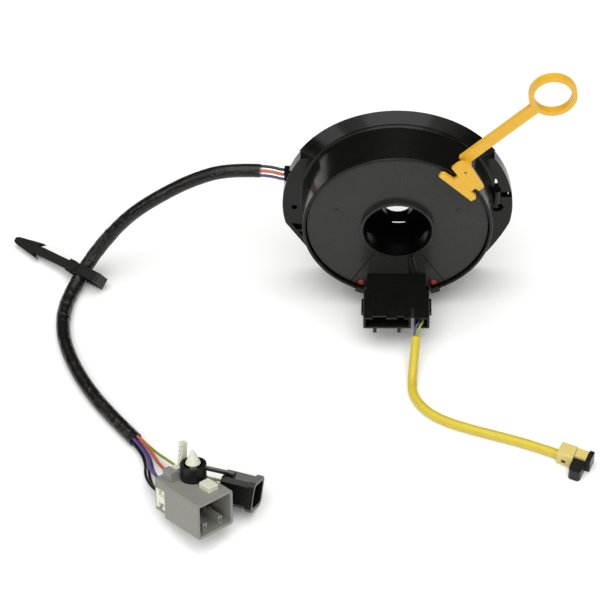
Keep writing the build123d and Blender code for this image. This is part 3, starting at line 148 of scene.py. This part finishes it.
# ---------------------------------------------------------------- what a user would change
class ClockSpringSettings(bpy.types.PropertyGroup):
    sleeve_width: bpy.props.FloatProperty(
        name="Sleeve width", description="Outside diameter of the harness sleeve", default=8.0 * MM,
        unit="LENGTH")
    airbag_sleeve_width: bpy.props.FloatProperty(
        name="Airbag sleeve width", description="Outside diameter of the airbag lead's sleeve",
        default=5.2 * MM, unit="LENGTH")
    wire_width: bpy.props.FloatProperty(
        name="Wire width", description="Outside diameter of a harness wire", default=1.7 * MM, unit="LENGTH")
    fine_wire_width: bpy.props.FloatProperty(
        name="Fine wire width", description="Outside diameter of the black plug's wires", default=1.5 * MM,
        unit="LENGTH")
    airbag_wire_width: bpy.props.FloatProperty(
        name="Airbag wire width", description="Outside diameter of the airbag lead's wires", default=1.3 * MM,
        unit="LENGTH")
    tape_thickness: bpy.props.FloatProperty(
        name="Tape thickness", description="How far each turn of tape stands over the last", default=0.2 * MM,
        unit="LENGTH")
    tape_pitch: bpy.props.FloatProperty(
        name="Tape pitch", description="Distance between turns of the tape", default=9.0 * MM, unit="LENGTH")
    tooth_count: bpy.props.IntProperty(
        name="Strap teeth", description="Teeth under the strap of the edge clip", default=7, min=1, max=9)
    tooth_pitch: bpy.props.FloatProperty(
        name="Tooth pitch", description="Distance between the strap's teeth", default=1.9 * MM, unit="LENGTH")
    case_colour: bpy.props.FloatVectorProperty(
        name="Case colour", description="Black of the case's plastic", subtype="COLOR",
        default=linear("#0d0d0c"))
    disc_colour: bpy.props.FloatVectorProperty(
        name="Disc colour", description="Black of the turning disc", subtype="COLOR",
        default=linear("#2b2c2a"))
    lock_colour: bpy.props.FloatVectorProperty(
        name="Lock colour", description="Yellow of the shipping lock", subtype="COLOR",
        default=linear("#e2af2c"))
    sleeve_colour: bpy.props.FloatVectorProperty(
        name="Sleeve colour", description="Black of the harness sleeve", subtype="COLOR",
        default=linear("#14130f"))
    airbag_colour: bpy.props.FloatVectorProperty(
        name="Airbag lead colour", description="Yellow of the airbag lead's sleeve", subtype="COLOR",
        default=linear("#c8b424"))
    plug_colour: bpy.props.FloatVectorProperty(
        name="Plug colour", description="Grey of the large plug", subtype="COLOR", default=linear("#83837c"))


def settings():
    return bpy.context.scene.clock_spring


# ---------------------------------------------------------------- nodes and materials
# How far apart the marks lie in millimetres: the flow of the melt, handling's wear, an insulation's drift.
FLOW_MM, WEAR_MM, DRIFT_MM = 26, 7, 6
# The edge of the painted shade in a bore: from where its painted black begins to fade to where it ends,
# outside its radius.
BORE_FADE_MM = (0.2, 0.7)
BORE_SHADE = 0.06


def add(tree, kind, values=None, **inputs):
    """Add one node with its settings, and set each input to a value or to another node's output."""
    made = tree.nodes.new(kind)
    for key, value in (values or {}).items():
        setattr(made, key, value)
    for key, value in inputs.items():
        numbered = key[0] == "n" and key[1:].isdigit()
        socket = made.inputs[int(key[1:]) if numbered else key.replace("_", " ")]
        if isinstance(value, bpy.types.NodeSocket):
            tree.links.new(value, socket)
        else:
            socket.default_value = value
    return made


def rgba(colour, shade=1.0):
    return (colour[0] * shade, colour[1] * shade, colour[2] * shade, 1.0)


def begin(name):
    """A new material's empty tree, and where each point lies on its object."""
    material = bpy.data.materials.new(name)
    material.use_nodes = True
    material.node_tree.nodes.clear()
    return material, material.node_tree, add(material.node_tree, "ShaderNodeTexCoord").outputs["Object"]


def end(material, **shader):
    """Close a material with its shader, plain values set on the shader's own sockets."""
    surface = add(material.node_tree, "ShaderNodeBsdfPrincipled", None, **shader)
    add(material.node_tree, "ShaderNodeOutputMaterial", None, Surface=surface.outputs["BSDF"])
    return material


def moulded(name, colour, rough, grain_mm=1.2, grain_depth_mm=0.012, streak=0.12, painted_shade_bore=None, **shader):
    """Injection-moulded plastic.

    The fine noise is the grain that spark erosion leaves in a mould, and breaks up the edges of highlights.
    The middle one is the wear of handling, and makes the gloss patchy. The slow one is the flow of the melt,
    and shades the colour over a hand's width. A bore, given by its radius about the turning axis in
    millimetres, is painted nearly black as painted shade, so that the hole reads as deep.
    """
    material, tree, place = begin(name)
    flow = add(tree, "ShaderNodeTexNoise", None, Vector=place, Scale=1 / (FLOW_MM * MM), Detail=3.0)
    tone = add(tree, "ShaderNodeMix", {"data_type": "RGBA"}, n0=flow.outputs["Fac"],
               n6=rgba(colour, 1 - streak), n7=rgba(colour, 1 + streak))
    # Painted shade: within the bore's radius the colour fades to near black, so the hole reads as deep.
    if painted_shade_bore:
        across = add(tree, "ShaderNodeVectorMath", {"operation": "MULTIPLY"}, n0=place, n1=(1.0, 0.0, 1.0))
        reach = add(tree, "ShaderNodeVectorMath", {"operation": "LENGTH"}, n0=across.outputs["Vector"])
        start, stop = ((painted_shade_bore + fade) * MM for fade in BORE_FADE_MM)
        outside = add(tree, "ShaderNodeMapRange", None, Value=reach.outputs["Value"], From_Min=start,
                      From_Max=stop)
        tone = add(tree, "ShaderNodeMix", {"data_type": "RGBA"}, n0=outside.outputs["Result"],
                   n6=rgba(colour, BORE_SHADE), n7=tone.outputs[2])
    wear = add(tree, "ShaderNodeTexNoise", None, Vector=place, Scale=1 / (WEAR_MM * MM), Detail=6.0,
               Roughness=0.65)
    gloss = add(tree, "ShaderNodeMapRange", None, Value=wear.outputs["Fac"], From_Min=0.3, From_Max=0.75,
                To_Min=rough - 0.05, To_Max=rough + 0.08)
    grain = add(tree, "ShaderNodeTexNoise", None, Vector=place, Scale=1 / (grain_mm * MM), Detail=2.0)
    bump = add(tree, "ShaderNodeBump", None, Height=grain.outputs["Fac"], Strength=1.0,
               Distance=grain_depth_mm * MM)
    return end(material, Base_Color=tone.outputs[2], Roughness=gloss.outputs["Result"],
               Normal=bump.outputs["Normal"], **shader)


def soft_vinyl(name, colour, rough, crease_mm, crease_depth_mm, shade=0.2, **shader):
    """Soft PVC, extruded or wound.

    One stretched noise drives all three: the creases that bending leaves, a painted shade that darkens their
    valleys and lightens their crests, and a shine on their crests, which together read as a thin skin that
    gives.
    """
    material, tree, place = begin(name)
    crease = add(tree, "ShaderNodeTexNoise", None, Vector=place, Scale=1 / (crease_mm * MM), Detail=3.0,
                 Roughness=0.6, Distortion=0.8)
    # Painted shade and highlight: the colour is darker in the creases' valleys and lighter on their crests.
    tone = add(tree, "ShaderNodeMix", {"data_type": "RGBA"}, n0=crease.outputs["Fac"],
               n6=rgba(colour, 1 - shade), n7=rgba(colour, 1 + shade))
    gloss = add(tree, "ShaderNodeMapRange", None, Value=crease.outputs["Fac"], From_Min=0.35, From_Max=0.7,
                To_Min=rough + 0.1, To_Max=rough)
    bump = add(tree, "ShaderNodeBump", None, Height=crease.outputs["Fac"], Strength=1.0,
               Distance=crease_depth_mm * MM)
    return end(material, Base_Color=tone.outputs[2], Roughness=gloss.outputs["Result"],
               Normal=bump.outputs["Normal"], IOR=1.53, **shader)


def wire_vinyl(colour):
    """Thin-wall PVC drawn over copper: glossy, its colour a little uneven along the wire.

    Wires of one colour share one material.
    """
    name = f"pvc_{colour}_extruded_insulation"
    if name in bpy.data.materials:
        return bpy.data.materials[name]
    material, tree, place = begin(name)
    drift = add(tree, "ShaderNodeTexNoise", None, Vector=place, Scale=1 / (DRIFT_MM * MM), Detail=2.0)
    base = linear(INSULATION[colour])
    tone = add(tree, "ShaderNodeMix", {"data_type": "RGBA"}, n0=drift.outputs["Fac"],
               n6=rgba(base, 0.82), n7=rgba(base, 1.15))
    return end(material, Base_Color=tone.outputs[2], Roughness=0.3, IOR=1.53)


def metal(name, colour, rough, mark_mm, depth_mm):
    """Plated, tinned or drawn metal: fine marks of the process break up its mirror."""
    material, tree, place = begin(name)
    marks = add(tree, "ShaderNodeTexNoise", None, Vector=place, Scale=1 / (mark_mm * MM), Detail=4.0)
    gloss = add(tree, "ShaderNodeMapRange", None, Value=marks.outputs["Fac"], To_Min=rough * 0.7,
                To_Max=rough * 1.4)
    bump = add(tree, "ShaderNodeBump", None, Height=marks.outputs["Fac"], Strength=0.5,
               Distance=depth_mm * MM)
    return end(material, Base_Color=rgba(colour), Metallic=1.0, Roughness=gloss.outputs["Result"],
               Normal=bump.outputs["Normal"])


# ---------------------------------------------------------------- Geometry Nodes
def open_tree(name, kinds):
    """A tree with named inputs: the tree, its sockets by name, and what its nodes read them from."""
    tree = bpy.data.node_groups.new(name, "GeometryNodeTree")
    tree.is_modifier = True
    face = tree.interface
    face.new_socket("Geometry", in_out="INPUT", socket_type="NodeSocketGeometry")
    sockets = {n: face.new_socket(n, in_out="INPUT", socket_type=f"NodeSocket{k}") for n, k in kinds.items()}
    face.new_socket("Geometry", in_out="OUTPUT", socket_type="NodeSocketGeometry")
    return tree, sockets, add(tree, "NodeGroupInput").outputs


def close_tree(tree, geometry, material):
    real = add(tree, "GeometryNodeRealizeInstances", None, Geometry=geometry)
    dressed = add(tree, "GeometryNodeSetMaterial", None, Geometry=real.outputs["Geometry"], Material=material)
    add(tree, "NodeGroupOutput", None, Geometry=dressed.outputs["Geometry"])


def grow(name, data, tree, sockets, chosen):
    """Run a tree on an object's data with the chosen inputs, and keep the result as a plain mesh."""
    holder = show(name, data)
    run = holder.modifiers.new(name, "NODES")
    run.node_group = tree
    for key, value in chosen.items():
        run[sockets[key].identifier] = value
    mesh = plain_mesh(holder)
    bpy.data.objects.remove(holder)
    return show(name, mesh)


def plain_mesh(holder):
    bpy.context.view_layer.update()
    return bpy.data.meshes.new_from_object(holder.evaluated_get(bpy.context.evaluated_depsgraph_get()))


# ---------------------------------------------------------------- making pieces
def show(name, data):
    piece = bpy.data.objects.new(name, data)
    bpy.context.scene.collection.objects.link(piece)
    return piece


def route_curve(name, route):
    """A smooth curve that takes a route's points as its control points."""
    curve = bpy.data.curves.new(name, "CURVE")
    curve.dimensions = "3D"
    spline = curve.splines.new("NURBS")
    spline.points.add(len(route) - 1)
    for point, (x, y, z) in zip(spline.points, route):
        point.co = (x * MM, y * MM, z * MM, 1.0)
    spline.order_u = 3
    spline.use_endpoint_u = True
    curve.resolution_u = ROUTE_STEPS
    return curve


def carry(piece, body):
    """Moves a piece with a body."""
    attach(piece, body)
    return piece


def lead(name, route, width, material, body, node):
    """A cord or wire of round section that stands for a node of the frame."""
    curve = route_curve(name, route)
    curve.bevel_depth = width / 2
    curve.bevel_resolution = SECTION_STEPS
    curve.use_fill_caps = True
    curve.materials.append(material)
    piece = carry(show(name, curve), body)
    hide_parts(node)
    return piece


def route_length(route):
    """Length of the smooth curve through a route, in metres."""
    guide = show("length_guide", route_curve("length_guide", route))
    mesh = plain_mesh(guide)
    points = mesh.vertices
    total = sum((points[a].co - points[b].co).length for a, b in (edge.vertices for edge in mesh.edges))
    bpy.data.objects.remove(guide)
    bpy.data.meshes.remove(mesh)
    return total


def metres(point):
    return tuple(c * MM for c in point)


def prism(name, outline, front, back, material):
    """A flat piece with an outline in X and Z, in millimetres, between two heights along the axis."""
    mesh = bmesh.new()
    near = mesh.faces.new([mesh.verts.new((x * MM, front * MM, z * MM)) for x, z in outline])
    far = bmesh.ops.extrude_face_region(mesh, geom=[near])["geom"]
    corners = [part for part in far if isinstance(part, bmesh.types.BMVert)]
    bmesh.ops.translate(mesh, vec=(0.0, (back - front) * MM, 0.0), verts=corners)
    bmesh.ops.recalc_face_normals(mesh, faces=mesh.faces)
    data = bpy.data.meshes.new(name)
    mesh.to_mesh(data)
    mesh.free()
    data.materials.append(material)
    return show(name, data)


def sector(side, start, stop, inner, outer):
    """Outline of a ring's sector, its angles in degrees off straight down on one side of the axis."""
    steps = [start + (stop - start) * i / ARC_STEPS for i in range(ARC_STEPS + 1)]
    turns = [(outer, math.radians(a)) for a in steps] + [(inner, math.radians(a)) for a in reversed(steps)]
    return [(side * r * math.sin(a), -r * math.cos(a)) for r, a in turns]


def finish_node(node, material):
    """Gives a node of the frame its real finish."""
    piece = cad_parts[node]
    for place in piece.material_slots:
        place.material = material


# ---------------------------------------------------------------- operators
class MakeStudio(bpy.types.Operator):
    """Camera, soft lights and a pale floor"""
    bl_idname = "clock_spring.studio"
    bl_label = "Studio"

    def execute(self, context):
        camera = bpy.data.cameras.new("camera")
        camera.lens = CAMERA_LENS
        camera.sensor_width = CAMERA_SENSOR
        camera.shift_x, camera.shift_y = CAMERA_SHIFT
        eye = show("camera", camera)
        back = CAMERA_DISTANCE * math.cos(CAMERA_TILT)
        eye.location = (0.0, CASE_FRONT_Y - back, CAMERA_DISTANCE * math.sin(CAMERA_TILT))
        eye.rotation_euler = (math.radians(90.0) - CAMERA_TILT, 0.0, 0.0)
        context.scene.camera = eye

        floor_mesh = bpy.data.meshes.new("floor")
        signs = ((-1, -1), (1, -1), (1, 1), (-1, 1))
        corners = [(x * FLOOR_HALF, y * FLOOR_HALF, FLOOR_Z) for x, y in signs]
        floor_mesh.from_pydata(corners, [], [(0, 1, 2, 3)])
        # Matt paper: no highlight of its own, so the object's soft shadow is all that it shows.
        paper = end(begin("paper_matt_calendered")[0], Base_Color=rgba(linear("#fbfbfa")), Roughness=0.95)
        floor_mesh.materials.append(paper)
        floor = show("floor", floor_mesh)

        for name, facts in LAMPS.items():
            self.lamp(name, *facts)
        self.world(context)
        return {"FINISHED"}

    def lamp(self, name, place, aim, width, height, power):
        light = bpy.data.lights.new(name, "AREA")
        light.shape = "RECTANGLE"
        light.size = width
        light.size_y = height
        light.energy = power
        lamp = show(name, light)
        lamp.location = place
        lamp.rotation_euler = (Vector(aim) - Vector(place)).to_track_quat("-Z", "Y").to_euler()

    def world(self, context):
        """A bright ceiling that leans towards the camera, over dark walls."""
        world = bpy.data.worlds.new("studio")
        context.scene.world = world
        context.scene.view_settings.view_transform = "Standard"
        world.use_nodes = True
        tree = world.node_tree
        tree.nodes.clear()
        place = add(tree, "ShaderNodeTexCoord")
        towards = add(tree, "ShaderNodeVectorMath", {"operation": "DOT_PRODUCT"},
                      n0=place.outputs["Generated"], n1=CEILING_TOWARDS)
        ceiling = add(tree, "ShaderNodeMapRange", {"interpolation_type": "SMOOTHSTEP"},
                      Value=towards.outputs["Value"], From_Min=CEILING_EDGE[0], From_Max=CEILING_EDGE[1],
                      To_Min=CEILING_LIGHT[0], To_Max=CEILING_LIGHT[1])
        light = add(tree, "ShaderNodeBackground", None, Color=(1.0, 1.0, 1.0, 1.0),
                    Strength=ceiling.outputs["Result"])
        add(tree, "ShaderNodeOutputWorld", None, Surface=light.outputs["Background"])


class MakeHarnessLead(bpy.types.Operator):
    """The black sleeve with its tape, and the wires that enter it"""
    bl_idname = "clock_spring.harness_lead"
    bl_label = "Harness lead"

    def execute(self, context):
        size = settings()
        # Soft black tube: short bright creases along its back, black between them; their valleys are painted
        # darker and their crests lighter.
        vinyl = soft_vinyl("pvc_black_extruded_tube", size.sleeve_colour, 0.09, crease_mm=7.0,
                           crease_depth_mm=0.8, Specular_IOR_Level=0.3)
        sleeve = lead("harness_sleeve_soft", SLEEVE_ROUTE, size.sleeve_width, vinyl, "stator",
                      "harness_sleeve")
        tape = self.tape(size)
        teeth = self.teeth(size)
        route_length(SLEEVE_ROUTE)
        for i, (colour, route) in enumerate(EXIT_WIRES):
            lead(f"exit_wire_{i + 1}", route, size.wire_width, wire_vinyl(colour), "stator", "exit_wires")
        return {"FINISHED"}

    def tape(self, size):
        """Cloth tape wound on the lower part of the sleeve: each turn stands over the last."""
        names = ("Start", "End", "Radius", "Pitch", "Thickness")
        tree, sockets, given = open_tree("wound_tape", {name: "Float" for name in names})
        cut = add(tree, "GeometryNodeTrimCurve", None, Curve=given["Geometry"], Start=given["Start"],
                  End=given["End"])
        fine = add(tree, "GeometryNodeResampleCurve", None, Curve=cut.outputs["Curve"], Count=TAPE_STEPS)
        run = add(tree, "GeometryNodeCaptureAttribute", None, Geometry=fine.outputs["Curve"])
        run.capture_items.new("FLOAT", "Run")
        tree.links.new(add(tree, "GeometryNodeSplineParameter").outputs["Length"], run.inputs["Run"])
        ring = add(tree, "GeometryNodeCurvePrimitiveCircle", None, Resolution=TAPE_SIDES,
                   Radius=given["Radius"])
        turn = add(tree, "GeometryNodeCaptureAttribute", None, Geometry=ring.outputs["Curve"])
        turn.capture_items.new("FLOAT", "Turn")
        tree.links.new(add(tree, "GeometryNodeSplineParameter").outputs["Factor"], turn.inputs["Turn"])
        skin = add(tree, "GeometryNodeCurveToMesh", None, Curve=run.outputs["Geometry"],
                   Profile_Curve=turn.outputs["Geometry"], Fill_Caps=True)
        turns = add(tree, "ShaderNodeMath", {"operation": "DIVIDE"}, n0=run.outputs["Run"], n1=given["Pitch"])
        both = add(tree, "ShaderNodeMath", {"operation": "ADD"}, n0=turns.outputs[0], n1=turn.outputs["Turn"])
        step = add(tree, "ShaderNodeMath", {"operation": "FRACT"}, n0=both.outputs[0])
        rise = add(tree, "ShaderNodeMath", {"operation": "MULTIPLY"}, n0=step.outputs[0],
                   n1=given["Thickness"])
        out = add(tree, "GeometryNodeInputNormal")
        move = add(tree, "ShaderNodeVectorMath", {"operation": "SCALE"}, n0=out.outputs["Normal"],
                   Scale=rise.outputs[0])
        wound = add(tree, "GeometryNodeSetPosition", None, Geometry=skin.outputs["Mesh"],
                    Offset=move.outputs[0])
        smooth = add(tree, "GeometryNodeSetShadeSmooth", None, Geometry=wound.outputs["Geometry"])
        # Stretched tape: closer creases than the tube's, and a duller skin; its creases' valleys are painted
        # darker and their crests lighter.
        cloth = soft_vinyl("pvc_black_calendered_tape", size.sleeve_colour, 0.16, crease_mm=3.5,
                           crease_depth_mm=0.8, Specular_IOR_Level=0.3)
        close_tree(tree, smooth.outputs["Geometry"], cloth)
        chosen = {"Start": TAPE_START, "End": TAPE_END, "Radius": size.sleeve_width / 2 + TAPE_CLEAR * MM,
                  "Pitch": size.tape_pitch, "Thickness": size.tape_thickness}
        tape = grow("harness_tape", route_curve("harness_tape", SLEEVE_ROUTE), tree, sockets, chosen)
        return carry(tape, "stator")

    def teeth(self, size):
        """Ratchet teeth under the clip's strap: one tooth repeated along a line."""
        kinds = {"Count": "Int", "First": "Vector", "Step": "Vector", "Turn": "Rotation", "Size": "Vector"}
        tree, sockets, given = open_tree("strap_teeth", kinds)
        line = add(tree, "GeometryNodeMeshLine", None, Count=given["Count"], Start_Location=given["First"],
                   Offset=given["Step"])
        tooth = add(tree, "GeometryNodeMeshCube", None, Size=given["Size"])
        row = add(tree, "GeometryNodeInstanceOnPoints", None, Points=line.outputs["Mesh"],
                  Instance=tooth.outputs["Mesh"], Rotation=given["Turn"])
        # Strap plastic: the teeth catch thin bright edges against the black of the band.
        nylon = moulded("polyamide_black_moulded_strap", linear("#131312"), 0.3, grain_depth_mm=0.004)
        close_tree(tree, row.outputs["Instances"], nylon)

        along = (CLIP_ALONG - SLEEVE_ALONG * CLIP_ALONG.dot(SLEEVE_ALONG)).normalized()
        down = SLEEVE_ALONG.cross(along)
        turn = Matrix((along, down, SLEEVE_ALONG)).transposed()
        first = (CLIP_MIDDLE + along * TOOTH_START + down * TOOTH_OUT + SLEEVE_ALONG * TOOTH_ASIDE) * MM
        chosen = {"Count": size.tooth_count, "First": first, "Step": along * -size.tooth_pitch,
                  "Turn": turn.to_euler(), "Size": metres(TOOTH_SIZE)}
        teeth = grow("strap_teeth", bpy.data.meshes.new("strap_teeth"), tree, sockets, chosen)
        return carry(teeth, "stator")


class MakePlugLeads(bpy.types.Operator):
    """The coloured wires that run from the sleeve to the grey and black plugs"""
    bl_idname = "clock_spring.plug_leads"
    bl_label = "Plug leads"

    def execute(self, context):
        size = settings()
        sets = [("grey", GREY_PLUG_WIRES, size.wire_width, "plug_wires"),
                ("black", BLACK_PLUG_WIRES, size.fine_wire_width, "black_plug_wires")]
        for plug, wires, width, node in sets:
            for i, (colour, route) in enumerate(wires):
                wire = lead(f"{plug}_plug_wire_{i + 1}", route, width, wire_vinyl(colour), "stator", node)
                route_length(route)
        return {"FINISHED"}


class MakeAirbagLead(bpy.types.Operator):
    """The yellow lead of the airbag, from the tower to its plug"""
    bl_idname = "clock_spring.airbag_lead"
    bl_label = "Airbag lead"

    def execute(self, context):
        size = settings()
        # Yellow tube: a clean warning colour, with dimples too shallow to break its highlight, and a faint
        # painted shade in them.
        vinyl = soft_vinyl("pvc_yellow_extruded_tube", size.airbag_colour, 0.34, crease_mm=4.0,
                           crease_depth_mm=0.12, shade=0.12)
        sleeve = lead("airbag_sleeve_soft", AIRBAG_ROUTE, size.airbag_sleeve_width, vinyl, "rotor",
                      "squib_sleeve")
        ends = [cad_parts[n] for n in ("squib_plug_body", "squib_plug_nose")] + [self.latch()]
        route_length(AIRBAG_ROUTE)
        for i, (colour, route) in enumerate(AIRBAG_WIRES):
            lead(f"airbag_wire_{i + 1}", route, size.airbag_wire_width, wire_vinyl(colour), "rotor",
                 "squib_wires")
        return {"FINISHED"}

    def latch(self):
        """The latch that shows in the window of the plug."""
        # Painted shade: its dark brown stands in for the shade in the plug's window; unpolished and far in,
        # so it reads as a dark square in the pale side.
        dark = moulded("pbt_moulded_latch_painted_shade", linear("#2a2013"), 0.5)
        latch = prism("airbag_plug_latch", LATCH_OUTLINE, LATCH_FRONT, LATCH_BACK, dark)
        end_point, before = (Vector(metres(point)) for point in (AIRBAG_ROUTE[-1], AIRBAG_ROUTE[-2]))
        travel = end_point - before
        turn = Matrix.Rotation(math.atan2(travel.y, travel.x), 4, "Z")
        latch.data.transform(Matrix.Translation((end_point.x, end_point.y, FLOOR_Z)) @ turn)
        return carry(latch, "rotor")


class MakeCarrierTabs(bpy.types.Operator):
    """The two tabs of the carrier that reach over the rim of the case"""
    bl_idname = "clock_spring.carrier_tabs"
    bl_label = "Carrier tabs"

    def execute(self, context):
        # Same moulding as the carrier, so it takes the disc's charcoal and stands out against the paper.
        plastic = moulded("pbt_black_moulded_tab", settings().disc_colour, 0.34, Specular_IOR_Level=0.12)
        for side, word in ((-1, "left"), (1, "right")):
            for part, shape, back_y in (("stem_", TAB_STEM, DISC_Y), ("", TAB_PAD, TAB_BACK_Y)):
                tab = prism(f"carrier_tab_{part}{word}", sector(side, *shape), TAB_FRONT_Y, back_y, plastic)
                carry(tab, "rotor")
        return {"FINISHED"}


class FinishPlastics(bpy.types.Operator):
    """Finishes of the moulded and metal pieces"""
    bl_idname = "clock_spring.finishes"
    bl_label = "Finishes"

    def execute(self, context):
        size = settings()
        # Glass-filled case: deep black, with a satin sheen on every face that looks at a light.
        case = moulded("pbt_black_glass_filled_moulded", size.case_colour, 0.17, grain_depth_mm=0.003,
                       Specular_IOR_Level=0.25)
        # The disc slides on the case, so it is unfilled: a charcoal that mirrors the paper as an even grey.
        # Its collar bore is painted near black: painted shade.
        disc = moulded("pbt_black_unfilled_moulded", size.disc_colour, 0.24, grain_depth_mm=0.002,
                       streak=0.2, painted_shade_bore=COLLAR_BORE, Specular_IOR_Level=0.24)
        # Tower and plugs: a duller black, which keeps their mouths dark.
        black = moulded("polyamide_black_moulded", linear("#0f0f0e"), 0.28, grain_depth_mm=0.005,
                        Specular_IOR_Level=0.28)
        # Bore liner: painted nearly black as painted shade, so the hole reads as deep, with a small sharp
        # glint.
        painted_shade_liner = moulded("moulded_bore_liner_painted_shade", linear("#080808"), 0.16, grain_depth_mm=0.002,
                        Specular_IOR_Level=0.1)
        # Yellow acetal: light goes a little way in, so its thin edges glow and its shade stays warm.
        lock = moulded("acetal_yellow_moulded", size.lock_colour, 0.36, streak=0.04, Subsurface_Weight=0.15,
                       Subsurface_Radius=(0.002, 0.0012, 0.0004))
        # Mineral-filled grey: an even, matt, chalky face.
        grey = moulded("pbt_grey_mineral_filled_moulded", size.plug_colour, 0.5, streak=0.05)
        # Unpigmented nylon: waxy and faintly green, lit from inside where it is thin.
        natural = moulded("polyamide_natural_moulded", linear("#d2d4c0"), 0.38, streak=0.04,
                          Subsurface_Weight=0.25, Subsurface_Radius=(0.002, 0.002, 0.0012))
        # White slide: the same nylon with pigment, so whiter and flatter.
        white = moulded("polyamide_white_moulded", linear("#dddccb"), 0.42, streak=0.04)
        # Red rivets: a dull brick red, with one small highlight on the crown.
        rivet = moulded("polyamide_red_moulded_rivet", linear("#8c2a19"), 0.42, streak=0.3)
        # Airbag plug: the pale safety yellow of such plugs.
        squib = moulded("pbt_yellow_moulded", linear("#cfbd6c"), 0.4, streak=0.08)
        # Tinned terminals: a soft grey glint deep in the mouths.
        tin = metal("brass_tinned_stamped", linear("#b9b3a2"), 0.3, 0.8, 0.004)
        # Zinc screws: cool, slightly cloudy bright metal.
        zinc = metal("steel_zinc_plated_screw", linear("#c3c4c2"), 0.35, 1.0, 0.006)
        # Spring steel: dark, oiled, with a tight highlight.
        spring = metal("steel_spring_oiled_stamped", linear("#5a5a58"), 0.3, 1.0, 0.006)
        # Laminated ribbon: copper showing warm through its film.
        film = moulded("polyester_copper_laminated_film", linear("#b8622a"), 0.22, grain_depth_mm=0.002)
        black_wire = wire_vinyl("black")
        finishes = {
            case: ["outer_case", "rear_cover", "wire_exit_guide"],
            disc: ["rotor_disc", "connector_carrier"],
            painted_shade_liner: ["hub_sleeve"],
            black: ["connector_tower", "clip_strap", "edge_clip", "plug_strap", "black_plug_body",
                    "squib_plug_nose"],
            lock: ["lock_tab"],
            grey: ["grey_plug_body"],
            natural: ["nylon_post", "nylon_block", "nylon_tip"],
            white: ["grey_plug_lock"],
            rivet: ["carrier_rivets"],
            squib: ["squib_plug_body", "squib_plug_lock"],
            tin: ["tower_blades", "grey_plug_pins", "black_plug_pins"],
            zinc: ["cover_screws"],
            spring: ["retaining_ring"],
            film: ["ribbon_cable"],
            black_wire: ["face_wires"],
        }
        for material, nodes in finishes.items():
            for node in nodes:
                finish_node(node, material)
        return {"FINISHED"}


class ClockSpringPanel(bpy.types.Panel):
    """Sizes, colours and the steps that dress the clock spring"""
    bl_idname = "VIEW3D_PT_clock_spring"
    bl_label = "Clock spring"
    bl_space_type = "VIEW_3D"
    bl_region_type = "UI"
    bl_category = "Clock spring"

    def draw(self, context):
        for name in ClockSpringSettings.__annotations__:
            self.layout.prop(context.scene.clock_spring, name)
        for step in STEPS:
            self.layout.operator(step.bl_idname)


STEPS = (MakeStudio, MakeHarnessLead, MakePlugLeads, MakeAirbagLead, MakeCarrierTabs, FinishPlastics)


def register():
    bpy.utils.register_class(ClockSpringSettings)
    for step in STEPS:
        bpy.utils.register_class(step)
    bpy.utils.register_class(ClockSpringPanel)
    bpy.types.Scene.clock_spring = bpy.props.PointerProperty(type=ClockSpringSettings)


def unregister():
    del bpy.types.Scene.clock_spring
    bpy.utils.unregister_class(ClockSpringPanel)
    for step in reversed(STEPS):
        bpy.utils.unregister_class(step)
    bpy.utils.unregister_class(ClockSpringSettings)


def main():
    register()
    bpy.ops.clock_spring.studio()
    bpy.ops.clock_spring.harness_lead()
    bpy.ops.clock_spring.plug_leads()
    bpy.ops.clock_spring.airbag_lead()
    bpy.ops.clock_spring.carrier_tabs()
    bpy.ops.clock_spring.finishes()


if __name__ == "__main__":
    main()
